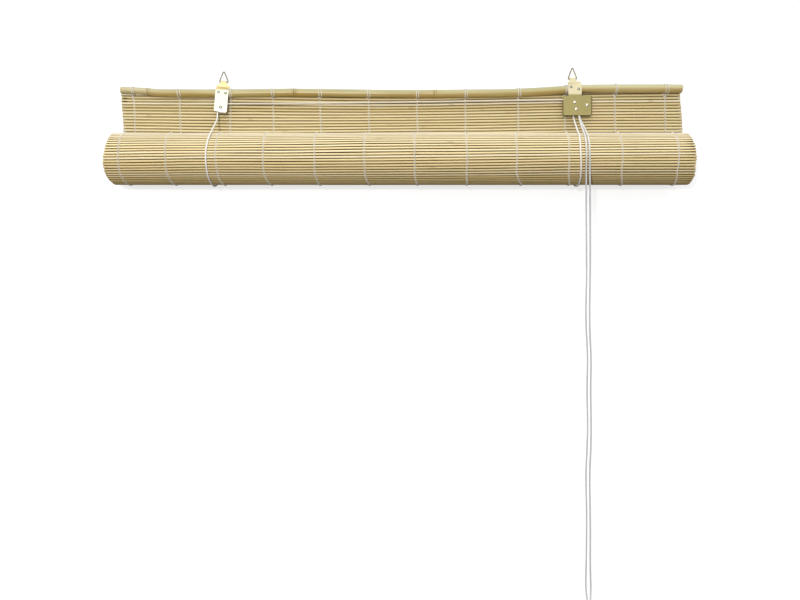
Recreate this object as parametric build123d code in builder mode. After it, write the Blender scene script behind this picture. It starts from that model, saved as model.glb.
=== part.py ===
from build123d import *
from math import acos, atan2, cos, degrees, hypot, pi, radians, sin, sqrt, tan
import os

# Bamboo roll-up blind, 1000 mm wide and 1600 mm long when let down, shown rolled
# up. Millimetres. X runs along the blind, -Y faces the room, +Z is up. The origin
# is halfway between the two points where the hanging rings bear on their hooks.

os.makedirs("parts", exist_ok=True)

# ---------------------------------------------------------------- driving sizes
slat_t = 1.4            # split bamboo sticks: half of 2.8 mm thick
slat_w = 2.05           # and half of 4.1 mm wide, rounded
slat_len = 1000.0
flat_pitch = 5.3        # stick to stick on the hanging part
roll_pitch = 4.9        # stick to stick round the roll
turn_pitch = 4.4        # one turn of the roll to the next
mat_y = 6.2             # plane of the hanging part, behind the cane
first_slat_z = -50.9
flat_count = 22
roll_front_r = 43.2     # stick centres at the front of the outermost turn
roll_z = -164.6
thread_r = 0.4

# head rail: a crooked natural cane (x, z, radius) along its centre
cane_line = [
    (-500, -35.6, 5.9), (-480, -36.4, 5.9), (-460, -37.6, 5.9), (-452, -38.2, 6.1),
    (-447.5, -38.9, 6.6), (-444.6, -39.3, 6.3), (-442, -39.7, 6.9), (-435, -40.3, 6.9),
    (-420, -40.9, 7.0), (-380, -41.2, 7.1), (-335, -41.2, 7.1), (-290, -41.1, 7.1),
    (-250, -40.6, 7.1), (-205, -40.0, 7.2), (-194, -39.9, 7.4), (-190.5, -39.9, 7.0),
    (-187.5, -39.9, 7.9), (-180, -40.0, 7.4), (-140, -40.5, 7.2), (-90, -41.2, 7.1),
    (-40, -41.9, 7.0), (0, -42.2, 7.0), (45, -42.5, 7.2), (56, -42.5, 7.5),
    (60, -42.5, 7.1), (63, -42.5, 7.8), (71, -42.4, 7.5), (110, -41.9, 7.4),
    (160, -41.4, 7.4), (200, -40.6, 7.4), (240, -39.0, 7.4), (272, -37.0, 7.5),
    (290, -35.6, 7.5), (302, -34.2, 7.6), (305, -33.9, 7.3), (308, -33.7, 7.6),
    (325, -33.3, 7.5), (380, -33.0, 7.6), (440, -33.0, 7.7), (480, -33.2, 7.7),
    (504, -33.4, 7.5),
]
cane_nodes = [-444.6, -190.5, 60.0, 305.0]

# twelve warps: x at the cane, at the foot of the hanging part, and on the roll
warp_top = [-479.0, -396.5, -304.4, -229.0, -144.5, -57.5, 29.5, 116.0, 211.0, 295.5, 384.5, 474.0]
warp_foot = [-472.5, -392.5, -306.5, -225.0, -141.0, -54.5, 31.0, 117.5, 211.5, 295.5, 386.0, 476.5]

# left pulley bracket and right cord lock
sheet = 1.0
lb_x, lb_z, lb_tilt = -318.9, -55.0, 5.0
lb_plate_y = -7.85
lb_back_y = -0.9
lw_x, lw_z, lw_y, lw_cord_r = -319.7, -67.9, -4.375, 6.5
rb_plate_y, rb_back_y = -8.7, 0.7
rb_left, rb_right, rb_top, rb_bottom = 289.7, 340.4, -47.9, -82.6
uw_x, uw_z, uw_cord_r = 309.9, -59.7, 5.9
rl_x, rl_z, rl_r, rl_cord_r = 312.4, -71.6, 4.3, 5.8
cam_x, cam_z = 331.7, -64.3
lane_a, lane_b, housing_mid = -5.8, -2.2, -4.0
rivet_r, bore_r = 1.5, 1.55

# hanging rings, each loose in its bracket's curl
curl_r = 2.1
ring_wire_r = 1.0
ring_l_x, ring_l_z, ring_l_apex = -316.0, -21.53, -3.3
ring_r_x, ring_r_z, ring_r_apex = 307.4, -15.8, 3.3

# cords
cord_r = 1.3
back_cord_y = 9.2
lift_l_x, lift_r_x = -326.2, 304.0
hank_top, hank_height, hank_depth, hank_width = -928.0, 78.0, 26.0, 16.4

# ---------------------------------------------------------------- derived sizes
roll_r0 = roll_front_r + turn_pitch / 2          # at the back, where the roll begins
roll_y = mat_y - roll_r0
core_r = 7.0                                     # bottom cane at the heart of the roll
roll_end_r = core_r + 0.3 + slat_t
flat_foot = first_slat_z - roll_z                # length of the hanging part


def cane_at(x):
    for (x0, z0, r0), (x1, z1, r1) in zip(cane_line, cane_line[1:]):
        if x <= x1:
            t = max(0.0, (x - x0) / (x1 - x0))
            return z0 + t * (z1 - z0), r0 + t * (r1 - r0)
    return cane_line[-1][1], cane_line[-1][2]


def across(x, z=0.0):
    """A plane square to the blind's length, drawn with Y across and Z up."""
    return Plane(origin=(x, 0, z), x_dir=(0, 1, 0), z_dir=(1, 0, 0))


def facing(y, x=0.0, z=0.0, tilt=0.0):
    """A plane that faces the room, drawn with X across and Z up."""
    t = radians(tilt)
    return Plane(origin=(x, y, z), x_dir=(cos(t), 0, -sin(t)), z_dir=(0, -1, 0))


def finish(part, name):
    part.part.label = name
    export_step(part.part, f"parts/{name}.step")
    print(name, len(part.part.solids()), "solid(s)", round(part.part.volume, 1), "mm3")


# ------------------------------------------------------- head rail: natural cane
with BuildPart() as headrail_cane:
    for x, z, r in cane_line[:-1]:
        with BuildSketch(across(x, z)):
            Circle(r)
    x, z, r = cane_line[-1]
    with BuildSketch(Plane(origin=(x, 0, z), x_dir=(0, 1, 0), z_dir=(1, 0, 0.16))):
        Ellipse(r, r * 1.01)
    loft(ruled=True)
    # the culm is hollow between its nodes, and open at both ends
    edges_x = [-504.0] + cane_nodes + [510.0]
    for a, b in zip(edges_x, edges_x[1:]):
        lo = a if a < -500 else a + 4
        hi = b if b > 505 else b - 4
        n = max(2, int((hi - lo) / 45) + 1)
        for i in range(n + 1):
            x = lo + (hi - lo) * i / n
            z, r = cane_at(x)
            with BuildSketch(across(x, z)):
                Circle(0.36 * r if 0 < i < n or x < -500 or x > 505 else 0.2 * r)
        loft(ruled=True, mode=Mode.SUBTRACT)
    # holes that the bracket screws and the cord staples make
    for x, z, tip in [(-323.8, -41.0, 2.9), (-311.2, -42.9, 2.9), (303.2, -31.9, 2.0), (316.7, -36.0, 2.0)]:
        with BuildSketch(facing(-12.0)):
            with Locations((x, z)):
                Circle(1.3)
        extrude(amount=-(12.0 + tip), mode=Mode.SUBTRACT)
    for x in (lift_l_x, lift_r_x):
        with BuildSketch(facing(14.0)):
            with Locations((x - 2.3, cane_at(x)[0] - 1.0), (x + 2.3, cane_at(x)[0] - 1.0)):
                Circle(0.6)
        extrude(amount=14.0 - 3.0, mode=Mode.SUBTRACT)
finish(headrail_cane, "headrail_cane")

# ------------------------------------------- two turns of each warp round the cane
with BuildPart() as warp_lashings:
    for wx in warp_top:
        for dx in (-0.55, 0.55):
            z, r = cane_at(wx + dx)
            with BuildSketch(Plane(origin=(wx + dx, 0, z), x_dir=(1, 0, 0), z_dir=(0, -1, 0))):
                with Locations((0, r + thread_r + 0.12)):
                    Circle(thread_r)
            revolve(axis=Axis((wx + dx, 0, z), (1, 0, 0)), revolution_arc=360)
finish(warp_lashings, "warp_lashings")

# ----------------------------------------------------- sticks of the hanging part
with BuildPart() as hanging_slats:
    for i in range(flat_count):
        z = first_slat_z - flat_pitch * i
        slide = 6.0 * i / (flat_count - 1)
        with BuildSketch(across(-501.5 + slide)):
            with Locations((mat_y, z)):
                RectangleRounded(2 * slat_t, 2 * slat_w, slat_t - 0.1)
        extrude(amount=slat_len - 1.5)
finish(hanging_slats, "hanging_slats")

# ------------- the warps of the hanging part: one strand before and one behind it
with BuildPart() as warp_threads:
    for xt, xf in zip(warp_top, warp_foot):
        for side in (-1, 1):
            y = mat_y + side * (slat_t + thread_r + 0.02)
            z0, z1 = first_slat_z + 0.8, roll_z + 1.0
            d = Vector(xf - xt, 0, z1 - z0)
            with BuildSketch(Plane(origin=(xt, y, z0), z_dir=d.normalized())):
                Circle(thread_r)
            extrude(amount=d.length)
finish(warp_threads, "warp_threads")

# --------------- the rolled part: its sticks and the threads between them, one
# long chain wound from the foot of the hanging part round to the bottom cane


def coil_point(a, off=0.0):
    r = roll_r0 - turn_pitch * a / (2 * pi) + off
    return (roll_y + r * cos(a), roll_z - r * sin(a))


sticks, a, gone = [], 0.0, flat_pitch * flat_count - flat_foot
while True:
    r = roll_r0 - turn_pitch * a / (2 * pi)
    if gone > 0:
        a += gone / r
        gone = 0.0
    r = roll_r0 - turn_pitch * a / (2 * pi)
    if r < roll_end_r:
        break
    sticks.append(a)
    a += roll_pitch / r
print("sticks hanging", flat_count, "rolled", len(sticks), "drop", round((flat_count + len(sticks)) * flat_pitch))

web = 0.45
arm = slat_w
outer, inner = [], []
for a in sticks:
    (cy, cz), (oy, oz) = coil_point(a), coil_point(a, 1.0)
    n = Vector(oy - cy, oz - cz)
    t = Vector(-n.Y, n.X) * -1.0                 # the way the roll winds
    c = Vector(cy, cz)
    outer.append((c - t * arm + n * web, c + n * slat_t, c + t * arm + n * web))
    inner.append((c - t * arm - n * web, c - n * slat_t, c + t * arm - n * web))
outline = []
for i, (p, m, q) in enumerate(outer):
    outline.append(Edge.make_three_point_arc(p, m, q))
    if i + 1 < len(outer):
        outline.append(Edge.make_line(q, outer[i + 1][0]))
cy, cz = coil_point(sticks[-1])
last = Vector(cy, cz)
tip = (outer[-1][2] - outer[-1][0]).normalized()
outline.append(Edge.make_three_point_arc(outer[-1][2], last + tip * (slat_w + 0.3), inner[-1][2]))
for i in range(len(inner) - 1, -1, -1):
    p, m, q = inner[i]
    outline.append(Edge.make_three_point_arc(q, m, p))
    if i:
        outline.append(Edge.make_line(p, inner[i - 1][2]))
cy, cz = coil_point(sticks[0])
head = (outer[0][2] - outer[0][0]).normalized()
outline.append(Edge.make_three_point_arc(inner[0][0], Vector(cy, cz) - head * (slat_w + 0.3), outer[0][0]))

with BuildPart() as rolled_mat:
    with BuildSketch(across(-501.0)):
        with BuildLine():
            add(outline)
        make_face()
    extrude(amount=slat_len)
finish(rolled_mat, "rolled_mat")

# --------------------------------------------- bottom cane at the roll's heart
with BuildPart() as bottom_cane:
    for x, r in [(-494, 6.3), (-330, 6.6), (-322, 6.95), (-318, 6.6), (-60, 6.7), (-52, 7.0), (-48, 6.7),
                 (200, 6.6), (208, 6.9), (212, 6.6), (492, 6.3)]:
        with BuildSketch(across(x, roll_z)):
            with Locations((roll_y, 0)):
                Circle(r)
    loft(ruled=True)
    for lo, hi in [(-496, -324), (-314, -54), (-46, 206), (214, 494)]:
        with BuildSketch(across(lo, roll_z)):
            with Locations((roll_y, 0)):
                Circle(2.4)
        extrude(amount=hi - lo, mode=Mode.SUBTRACT)
finish(bottom_cane, "bottom_cane")

# ------------------------------------------------------------ left pulley bracket
# One strip of sheet: a leg behind the wheel, a fold under it, the front plate up
# to the cane, leant back over it, and a curl at the top that holds the ring.
lb_up = Vector(sin(radians(lb_tilt)), 0, cos(radians(lb_tilt)))
lb_along = Vector(cos(radians(lb_tilt)), 0, -sin(radians(lb_tilt)))


def lb_section(offset):
    return Plane(origin=Vector(lb_x, 0, lb_z) + lb_along * offset, x_dir=(0, 1, 0), z_dir=lb_along)


lb_curl = ring_l_z - lb_z                        # the curl's centre above the middle
lb_fold = -75.5 - lb_z
fold_r = (lb_back_y - lb_plate_y) / 2


with BuildPart() as pulley_bracket:
    # front plate, lean and neck
    with BuildSketch(lb_section(-11.6)):
        with BuildLine():
            FilletPolyline((lb_plate_y, lb_fold), (lb_plate_y, 18.4), (-curl_r, 24.2), (-curl_r, lb_curl), radius=1.6)
            CenterArc((0, lb_curl), curl_r, 180, -250)
            offset(amount=sheet / 2, side=Side.BOTH)
        make_face()
    extrude(amount=23.2)
    with BuildSketch(facing(-30, lb_x, lb_z, lb_tilt)):
        with BuildLine():
            Polyline((-11.6, 26.6), (-11.6, -19.0), (-8.6, -22.0), (11.6, -22.0), (11.6, 26.6), (10.7, 27.5),
                     (7.0, 27.5), (7.0, 30.2), (4.9, 31.0), (4.9, 42.0), (-4.9, 42.0), (-4.9, 31.0), (-7.0, 30.2),
                     (-7.0, 27.5), (-10.7, 27.5), (-11.6, 26.6))
        make_face()
    extrude(amount=-60, mode=Mode.INTERSECT)
    # fold and back leg, clear of the cord that comes down on the left
    with BuildSketch(lb_section(-3.0)):
        with BuildLine():
            Line((lb_plate_y, lb_fold + 0.4), (lb_plate_y, lb_fold))
            CenterArc((lb_plate_y + fold_r, lb_fold), fold_r, 180, 180)
            Line((lb_back_y, lb_fold), (lb_back_y, -1.5))
            offset(amount=sheet / 2, side=Side.BOTH)
        make_face()
    extrude(amount=13.6)
    with BuildSketch(facing(-30)):
        with Locations((lw_x, lw_z)):
            Circle(rivet_r)
        with Locations((-323.8, -41.0), (-311.2, -42.9)):
            Circle(1.3)
    extrude(amount=-32, mode=Mode.SUBTRACT)
finish(pulley_bracket, "pulley_bracket")


# two round-headed wood screws fix each bracket to the cane
def wood_screw(x, front, z, slot_turn):
    with BuildPart() as screw:
        with BuildSketch(facing(front + 10.6)):
            with Locations((x, z)):
                Circle(1.3)
        extrude(amount=10.6)
        with BuildSketch(Plane(origin=(x, front, z), x_dir=(1, 0, 0), z_dir=(0, 0, 1))):
            with BuildLine():
                Polyline((0.7, -1.4), (0, -1.4), (0, 0), (2.4, 0), (2.4, -0.35))
                ThreePointArc((2.4, -0.35), (1.8, -1.08), (0.7, -1.4))
            make_face()
        revolve(axis=Axis((x, front, z), (0, 1, 0)), revolution_arc=360)
        with BuildSketch(facing(front - 1.7)):
            with Locations((x, z)):
                Rectangle(5.2, 0.6, rotation=slot_turn)
        extrude(amount=-0.9, mode=Mode.SUBTRACT)
    return screw.part


left_screws = [wood_screw(-323.8, lb_plate_y - sheet / 2, -41.0, 35), wood_screw(-311.2, lb_plate_y - sheet / 2, -42.9, -50)]
right_screws = [wood_screw(303.2, rb_plate_y - sheet / 2, -31.9, 20), wood_screw(316.7, rb_plate_y - sheet / 2, -36.0, 75)]

with BuildPart() as bracket_screws_left:
    add(left_screws)
finish(bracket_screws_left, "bracket_screws_left")

with BuildPart() as bracket_screws_right:
    add(right_screws)
finish(bracket_screws_right, "bracket_screws_right")

with BuildPart() as pulley_wheel:
    root = lw_cord_r - cord_r - 0.25
    with BuildSketch(Plane(origin=(lw_x, lw_y, lw_z), x_dir=(1, 0, 0), z_dir=(0, 0, 1))):
        with BuildLine():
            Polyline((bore_r, -2.6), (7.3, -2.6), (7.3, -1.9), (root, -1.55), (root, 1.55), (7.3, 1.9), (7.3, 2.6),
                     (bore_r, 2.6), close=True)
        make_face()
    revolve(axis=Axis((lw_x, lw_y, lw_z), (0, 1, 0)), revolution_arc=360)
finish(pulley_wheel, "pulley_wheel")


# a rivet is an axle too: domed in front, clenched flat behind
def rivet(x, z, front, back, head_r):
    with BuildPart() as pin:
        with BuildSketch(Plane(origin=(x, 0, z), x_dir=(1, 0, 0), z_dir=(0, 0, 1))):
            with BuildLine():
                Polyline((0.9, front - 1.1), (0, front - 1.1), (0, back + 0.7), (2.45, back + 0.7), (2.45, back), (rivet_r, back),
                         (rivet_r, front), (head_r, front), (head_r, front - 0.3))
                ThreePointArc((head_r, front - 0.3), (0.73 * head_r, front - 0.82), (0.9, front - 1.1))
            make_face()
        revolve(axis=Axis((x, 0, z), (0, 1, 0)), revolution_arc=360)
    return pin.part


left_rivet = rivet(lw_x, lw_z, lb_plate_y - sheet / 2, lb_back_y + sheet / 2, 2.9)
with BuildPart() as pulley_rivet:
    add(left_rivet)
finish(pulley_rivet, "pulley_rivet")

# --------------------------------------------------------------- right cord lock
with BuildPart() as lock_bracket:
    # T-shaped housing: front, right side and back folded from one sheet
    with BuildSketch(Plane.XY.offset(rb_bottom)):
        with BuildLine():
            FilletPolyline((rb_left, rb_plate_y), (rb_right - 0.5, rb_plate_y), (rb_right - 0.5, rb_back_y),
                           (rb_left, rb_back_y), radius=1.5)
            offset(amount=sheet / 2, side=Side.BOTH)
        make_face()
    extrude(amount=rb_top - rb_bottom)
    with BuildSketch(facing(-30)):
        with BuildLine():
            FilletPolyline((rb_left, rb_bottom), (rb_right, rb_bottom), (rb_right, rb_top), (rb_left, rb_top),
                           radius=2.2, close=True)
        make_face()
    extrude(amount=-60, mode=Mode.INTERSECT)
    # strap up the front of the cane, leant back over it, neck and curl
    with BuildSketch(across(298.5)):
        with BuildLine():
            FilletPolyline((rb_plate_y, rb_top - 3.0), (rb_plate_y, -29.4), (-curl_r, -22.8), (-curl_r, ring_r_z), radius=1.6)
            CenterArc((0, ring_r_z), curl_r, 180, -250)
            offset(amount=sheet / 2, side=Side.BOTH)
        make_face()
    strap = extrude(amount=23.6, mode=Mode.PRIVATE)
    with BuildSketch(facing(-30), mode=Mode.PRIVATE) as strap_outline:
        with BuildLine():
            Polyline((298.5, rb_top - 3.1), (298.5, -21.8), (299.4, -20.9), (301.0, -20.9), (302.2, -19.4), (302.2, -8.0),
                     (312.6, -8.0), (312.6, -19.2), (314.4, -20.3), (320.6, -20.7), (322.1, -22.0),
                     (322.1, rb_top - 3.1), (298.5, rb_top - 3.1))
        make_face()
    add(strap.intersect(extrude(strap_outline.sketch, amount=-60, mode=Mode.PRIVATE)))
    with BuildSketch(facing(-30)):
        with Locations((uw_x, uw_z), (rl_x, rl_z), (cam_x, cam_z)):
            Circle(rivet_r)
        with Locations((303.2, -31.9), (316.7, -36.0)):
            Circle(1.3)
    extrude(amount=-34, mode=Mode.SUBTRACT)
finish(lock_bracket, "lock_bracket")

for name, x, z in [("lock_rivet_upper", uw_x, uw_z), ("lock_rivet_lower", rl_x, rl_z), ("lock_rivet_cam", cam_x, cam_z)]:
    one = rivet(x, z, rb_plate_y - sheet / 2, rb_back_y + sheet / 2, 2.7)
    with BuildPart() as lock_rivet:
        add(one)
    finish(lock_rivet, name)

with BuildPart() as lock_upper_wheel:
    root = uw_cord_r - cord_r - 0.25
    with BuildSketch(Plane(origin=(uw_x, housing_mid, uw_z), x_dir=(1, 0, 0), z_dir=(0, 0, 1))):
        with BuildLine():
            Polyline((bore_r, -3.9), (6.4, -3.9), (6.4, -3.35), (root, -3.25), (root, -0.35), (5.6, -0.3), (5.6, 0.3),
                     (root, 0.35), (root, 3.25), (6.4, 3.35), (6.4, 3.9), (bore_r, 3.9), close=True)
        make_face()
    revolve(axis=Axis((uw_x, housing_mid, uw_z), (0, 1, 0)), revolution_arc=360)
finish(lock_upper_wheel, "lock_upper_wheel")

with BuildPart() as lock_lower_roller:
    with BuildSketch(Plane(origin=(rl_x, housing_mid, rl_z), x_dir=(1, 0, 0), z_dir=(0, 0, 1))):
        with BuildLine():
            Polyline((bore_r, -3.9), (rl_r - 0.4, -3.9), (rl_r, -3.5), (rl_r, 3.5), (rl_r - 0.4, 3.9), (bore_r, 3.9),
                     close=True)
        make_face()
    revolve(axis=Axis((rl_x, housing_mid, rl_z), (0, 1, 0)), revolution_arc=360)
    with BuildSketch(facing(housing_mid - 4.0)):
        with Locations((rl_x, rl_z)):
            with PolarLocations(rl_r + 0.05, 24):
                Circle(0.28)
    extrude(amount=-8.0, mode=Mode.SUBTRACT)
finish(lock_lower_roller, "lock_lower_roller")

# the toothed cam that pinches the cords against the lower roller
with BuildPart() as lock_cam:
    jaw = [(2.5, 3.8), (-4.5, 2.6), (-9.6, 1.2)]
    teeth = 6
    for i in range(teeth):
        u = i / teeth
        jaw.append((-9.9 - 2.1 * u, 0.2 - 6.6 * u))
        jaw.append((-9.3 - 2.1 * u, -0.6 - 6.6 * u))
    jaw += [(-11.9, -6.9), (-8.0, -8.6), (-3.0, -5.6), (2.5, -3.8)]
    with BuildSketch(facing(housing_mid - 3.8)):
        with Locations((cam_x, cam_z)):
            Circle(4.5)
        with BuildLine():
            Polyline(*[(cam_x + dx, cam_z + dz) for dx, dz in jaw], close=True)
        make_face()
        with Locations((cam_x, cam_z)):
            Circle(bore_r, mode=Mode.SUBTRACT)
    extrude(amount=-7.6)
finish(lock_cam, "lock_cam")


# -------------------------------------------------------------- hanging rings
def ring_path(x, bar_z, bearing_z):
    """A triangle of wire: the bar in the bracket's curl, the apex on the hook."""
    top = bearing_z + ring_wire_r + 1.75
    return [(x - 8.2, 0, bar_z), (x + 8.2, 0, bar_z), (x, 0, top)]


with BuildPart() as hanging_ring_left:
    with BuildLine():
        FilletPolyline(*ring_path(ring_l_x, ring_l_z, ring_l_apex), radius=1.5, close=True)
    with BuildSketch(across(ring_l_x, ring_l_z)):
        Circle(ring_wire_r)
    sweep()
finish(hanging_ring_left, "hanging_ring_left")

with BuildPart() as hanging_ring_right:
    with BuildLine():
        FilletPolyline(*ring_path(ring_r_x, ring_r_z, ring_r_apex), radius=1.5, close=True)
    with BuildSketch(across(ring_r_x, ring_r_z)):
        Circle(ring_wire_r)
    sweep()
finish(hanging_ring_right, "hanging_ring_right")

# ----------------------------------------------------- staples and end knots
# each lift cord ends in a knot above a wire staple in the back of the cane
with BuildPart() as cord_staples:
    for x in (lift_l_x, lift_r_x):
        z = cane_at(x)[0] - 1.0
        y1 = back_cord_y + cord_r + 0.75
        with BuildLine():
            FilletPolyline((x - 2.3, 3.2, z), (x - 2.3, y1, z), (x + 2.3, y1, z), (x + 2.3, 3.2, z), radius=1.4)
        with BuildSketch(Plane(origin=(x - 2.3, 3.2, z), z_dir=(0, 1, 0))):
            Circle(0.6)
        sweep()
finish(cord_staples, "cord_staples")

with BuildPart() as lift_cord_knots:
    for x in (lift_l_x, lift_r_x):
        z = cane_at(x)[0]
        with BuildSketch(Plane(origin=(x, back_cord_y, z), x_dir=(1, 0, 0), z_dir=(0, -1, 0))):
            with BuildLine():
                Polyline((0, 7.3), (0, 1.9), (cord_r, 1.9))
                Spline((cord_r, 1.9), (2.15, 2.8), (2.45, 4.4), (1.8, 6.6), (0, 7.3))
            make_face()
        revolve(axis=Axis((x, back_cord_y, z), (0, 0, 1)), revolution_arc=360)
finish(lift_cord_knots, "lift_cord_knots")


# --------------------------------------------------------------------- cords
def turn_radii(points, share=0.45, fixed=None):
    """The radius of each corner: as large as its two runs allow, or the size of
    the thing that the cord goes round."""
    out = []
    v = [Vector(*p) for p in points]
    for i in range(1, len(v) - 1):
        a, b = v[i] - v[i - 1], v[i + 1] - v[i]
        turn = radians(a.get_angle(b))
        r = share * min(a.length, b.length) / tan(turn / 2)
        if fixed and fixed.get(i):
            r = fixed[i]
        out.append(r)
    return out


def route_length(points, radii):
    v = [Vector(*p) for p in points]
    total = sum((v[i + 1] - v[i]).length for i in range(len(v) - 1))
    for i, r in enumerate(radii, start=1):
        turn = radians((v[i] - v[i - 1]).get_angle(v[i + 1] - v[i]))
        total -= r * (2 * tan(turn / 2) - turn)
    return total


# The lift cords lie behind the mat, pass under the roll and come up its front.
# Round the roll they follow three arcs of falling radius, as the roll itself does.
r_back, r_front, r_top = 47.6, 46.9, 46.6
c1 = (back_cord_y - r_back, roll_z)
c2 = (c1[0], roll_z - r_back + r_front)
c3 = (c1[0] - r_front + r_top, c2[1])


def leave_angle(y, z):
    """The angle above the roll's front where a cord to the point (y, z) leaves it."""
    dy, dz = y - c3[0], z - c3[1]
    d = hypot(dy, dz)
    to_point = atan2(dy, dz)                     # from +Z towards +Y
    back = acos(r_top / d) - to_point            # from +Z towards -Y
    return pi / 2 - back


def round_the_roll(x, top_z, exit_y, exit_z):
    """From the knot down the back, under the roll and up its front; the wire's
    edges and the point where it leaves the roll for (exit_y, exit_z)."""
    a = leave_angle(exit_y, exit_z)
    end = (x, c3[0] - r_top * cos(a), c3[1] + r_top * sin(a))
    return [
        Line((x, back_cord_y, top_z), (x, back_cord_y, roll_z)),
        ThreePointArc((x, back_cord_y, roll_z),
                      (x, c1[0] + r_back * cos(pi / 4), c1[1] - r_back * sin(pi / 4)),
                      (x, c1[0], c1[1] - r_back)),
        ThreePointArc((x, c1[0], c1[1] - r_back),
                      (x, c2[0] - r_front * cos(pi / 4), c2[1] - r_front * sin(pi / 4)),
                      (x, c2[0] - r_front, c2[1])),
        ThreePointArc((x, c2[0] - r_front, c2[1]),
                      (x, c3[0] - r_top * cos(a / 2), c3[1] + r_top * sin(a / 2)), end),
    ], end


slope = ((uw_z + uw_cord_r) - (lw_z + lw_cord_r)) / (uw_x - lw_x)
top_l = lw_z + lw_cord_r + slope * (lift_l_x - lw_x)
right_x = uw_x + uw_cord_r
nip_x = rl_x + rl_cord_r + 0.02
nip_z = -75.0
left_edges, left_leaves = round_the_roll(lift_l_x, cane_at(lift_l_x)[0] + 1.9, lw_y, -77.6)
left_points = [left_leaves, (lift_l_x, lw_y, -77.6), (lift_l_x, lw_y, top_l), (right_x - 0.02, lane_a, uw_z + uw_cord_r + 0.07),
               (nip_x, lane_a, rl_z + 1.2), (nip_x, lane_a, nip_z)]
right_edges, right_leaves = round_the_roll(lift_r_x, cane_at(lift_r_x)[0] + 1.9, lane_b, -85.2)


def touches(px, pz, side):
    """Where a cord from (px, pz) below the upper wheel meets its groove."""
    dx, dz = px - uw_x, pz - uw_z
    d, at = hypot(dx, dz), atan2(dz, dx)
    b = at + side * acos(uw_cord_r / d)
    return (uw_x + uw_cord_r * cos(b), lane_b, uw_z + uw_cord_r * sin(b))


up_from = (rl_x - rl_cord_r - 0.05, lane_b, rl_z - 1.0)
down_to = (nip_x, lane_b, rl_z + 1.2)
t_left, t_right = touches(up_from[0], up_from[2], -1), touches(down_to[0], down_to[2], 1)
right_points = [right_leaves, (rl_x - rl_cord_r - 0.1, lane_b, -85.2), up_from, t_left]

with BuildPart() as lift_cord_left:
    with BuildLine() as lift_line_left:
        add(left_edges)
        FilletPolyline(*left_points, radius=[5.5, lw_cord_r - 0.04, uw_cord_r - 0.04, 6.0])
    with BuildSketch(Plane(origin=(lift_l_x, back_cord_y, cane_at(lift_l_x)[0] + 1.9), z_dir=(0, 0, -1))):
        Circle(cord_r)
    sweep(path=lift_line_left.line)
finish(lift_cord_left, "lift_cord_left")
print("lift cord left", round(sum(e.length for e in lift_line_left.edges()), 1), "mm,", round(lift_cord_left.part.volume / (pi * cord_r ** 2), 1))

with BuildPart() as lift_cord_right:
    with BuildLine() as lift_line_right:
        add(right_edges)
        FilletPolyline(*right_points, radius=[5.0, 6.0])
        ThreePointArc(t_left, (uw_x, lane_b, uw_z + uw_cord_r), t_right)
        FilletPolyline(t_right, down_to, (nip_x, lane_b, nip_z), radius=6.0)
    with BuildSketch(Plane(origin=(lift_r_x, back_cord_y, cane_at(lift_r_x)[0] + 1.9), z_dir=(0, 0, -1))):
        Circle(cord_r)
    sweep(path=lift_line_right.line)
finish(lift_cord_right, "lift_cord_right")
print("lift cord right", round(sum(e.length for e in lift_line_right.edges()), 1), "mm,", round(lift_cord_right.part.volume / (pi * cord_r ** 2), 1))

# The pull cords leave the lock, lie over the front of the roll and hang free.
over_r = r_top + 0.4
front_y = c3[0] - over_r
hang = [
    (-184.0, 312.9, 318.9, 0.1), (-224.0, 312.6, 318.9, -0.3), (-272.0, 312.9, 319.2, 0.3), (-330.0, 313.1, 319.4, -0.4),
    (-383.0, 313.4, 319.1, 0.2), (-428.0, 311.9, 318.2, 0.5), (-470.0, 312.9, 318.6, -0.5), (-510.0, 315.5, 321.1, 0.3),
    (-562.0, 313.7, 319.9, 0.6), (-618.0, 315.3, 320.9, -0.4), (-664.0, 314.1, 320.4, 0.2), (-706.0, 311.8, 318.1, 0.4),
    (-758.0, 313.3, 319.0, -0.3), (-806.0, 313.3, 319.7, 0.3), (-856.0, 312.7, 319.1, -0.2), (-895.0, 311.5, 320.6, 0.2),
]
pull_x = {"left": 1, "right": 2}


def pull_route(side, lane):
    k = pull_x[side]
    start = (rl_x + rl_cord_r + 0.02, lane)
    over_x = {"left": (316.6, 314.9, 314.0, 313.6, 313.4), "right": (320.0, 319.3, 318.9, 318.7, 318.8)}[side]
    a = (lane, -86.0)
    first = 90 - degrees(leave_angle(*a)) + 0.6      # where it meets the roll, from +Z
    step = (90 - first) / 6
    vertex_r = over_r / cos(radians(step))
    v = [(c3[0] - vertex_r * sin(radians(first + k * step)), c3[1] + vertex_r * cos(radians(first + k * step)))
         for k in (1, 3, 5)]
    out = [(start[0], lane, -75.0), (start[0] + (0.0 if side == "left" else 1.6), a[0], a[1])]
    for t, sag in ((0.24, 0.35), (0.62, 0.3)):
        out.append((over_x[0 if t < 0.5 else 1], a[0] + t * (v[0][0] - a[0]) + 0.3 * sag, a[1] + t * (v[0][1] - a[1]) - 0.6 * sag))
    out += [(over_x[2 + i], v[i][0], v[i][1]) for i in range(3)]
    out += [(h[k], front_y + h[3], h[0]) for h in hang]
    out.append({"left": (311.2, front_y, hank_top), "right": (321.4, front_y, hank_top)}[side])
    return out


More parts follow.
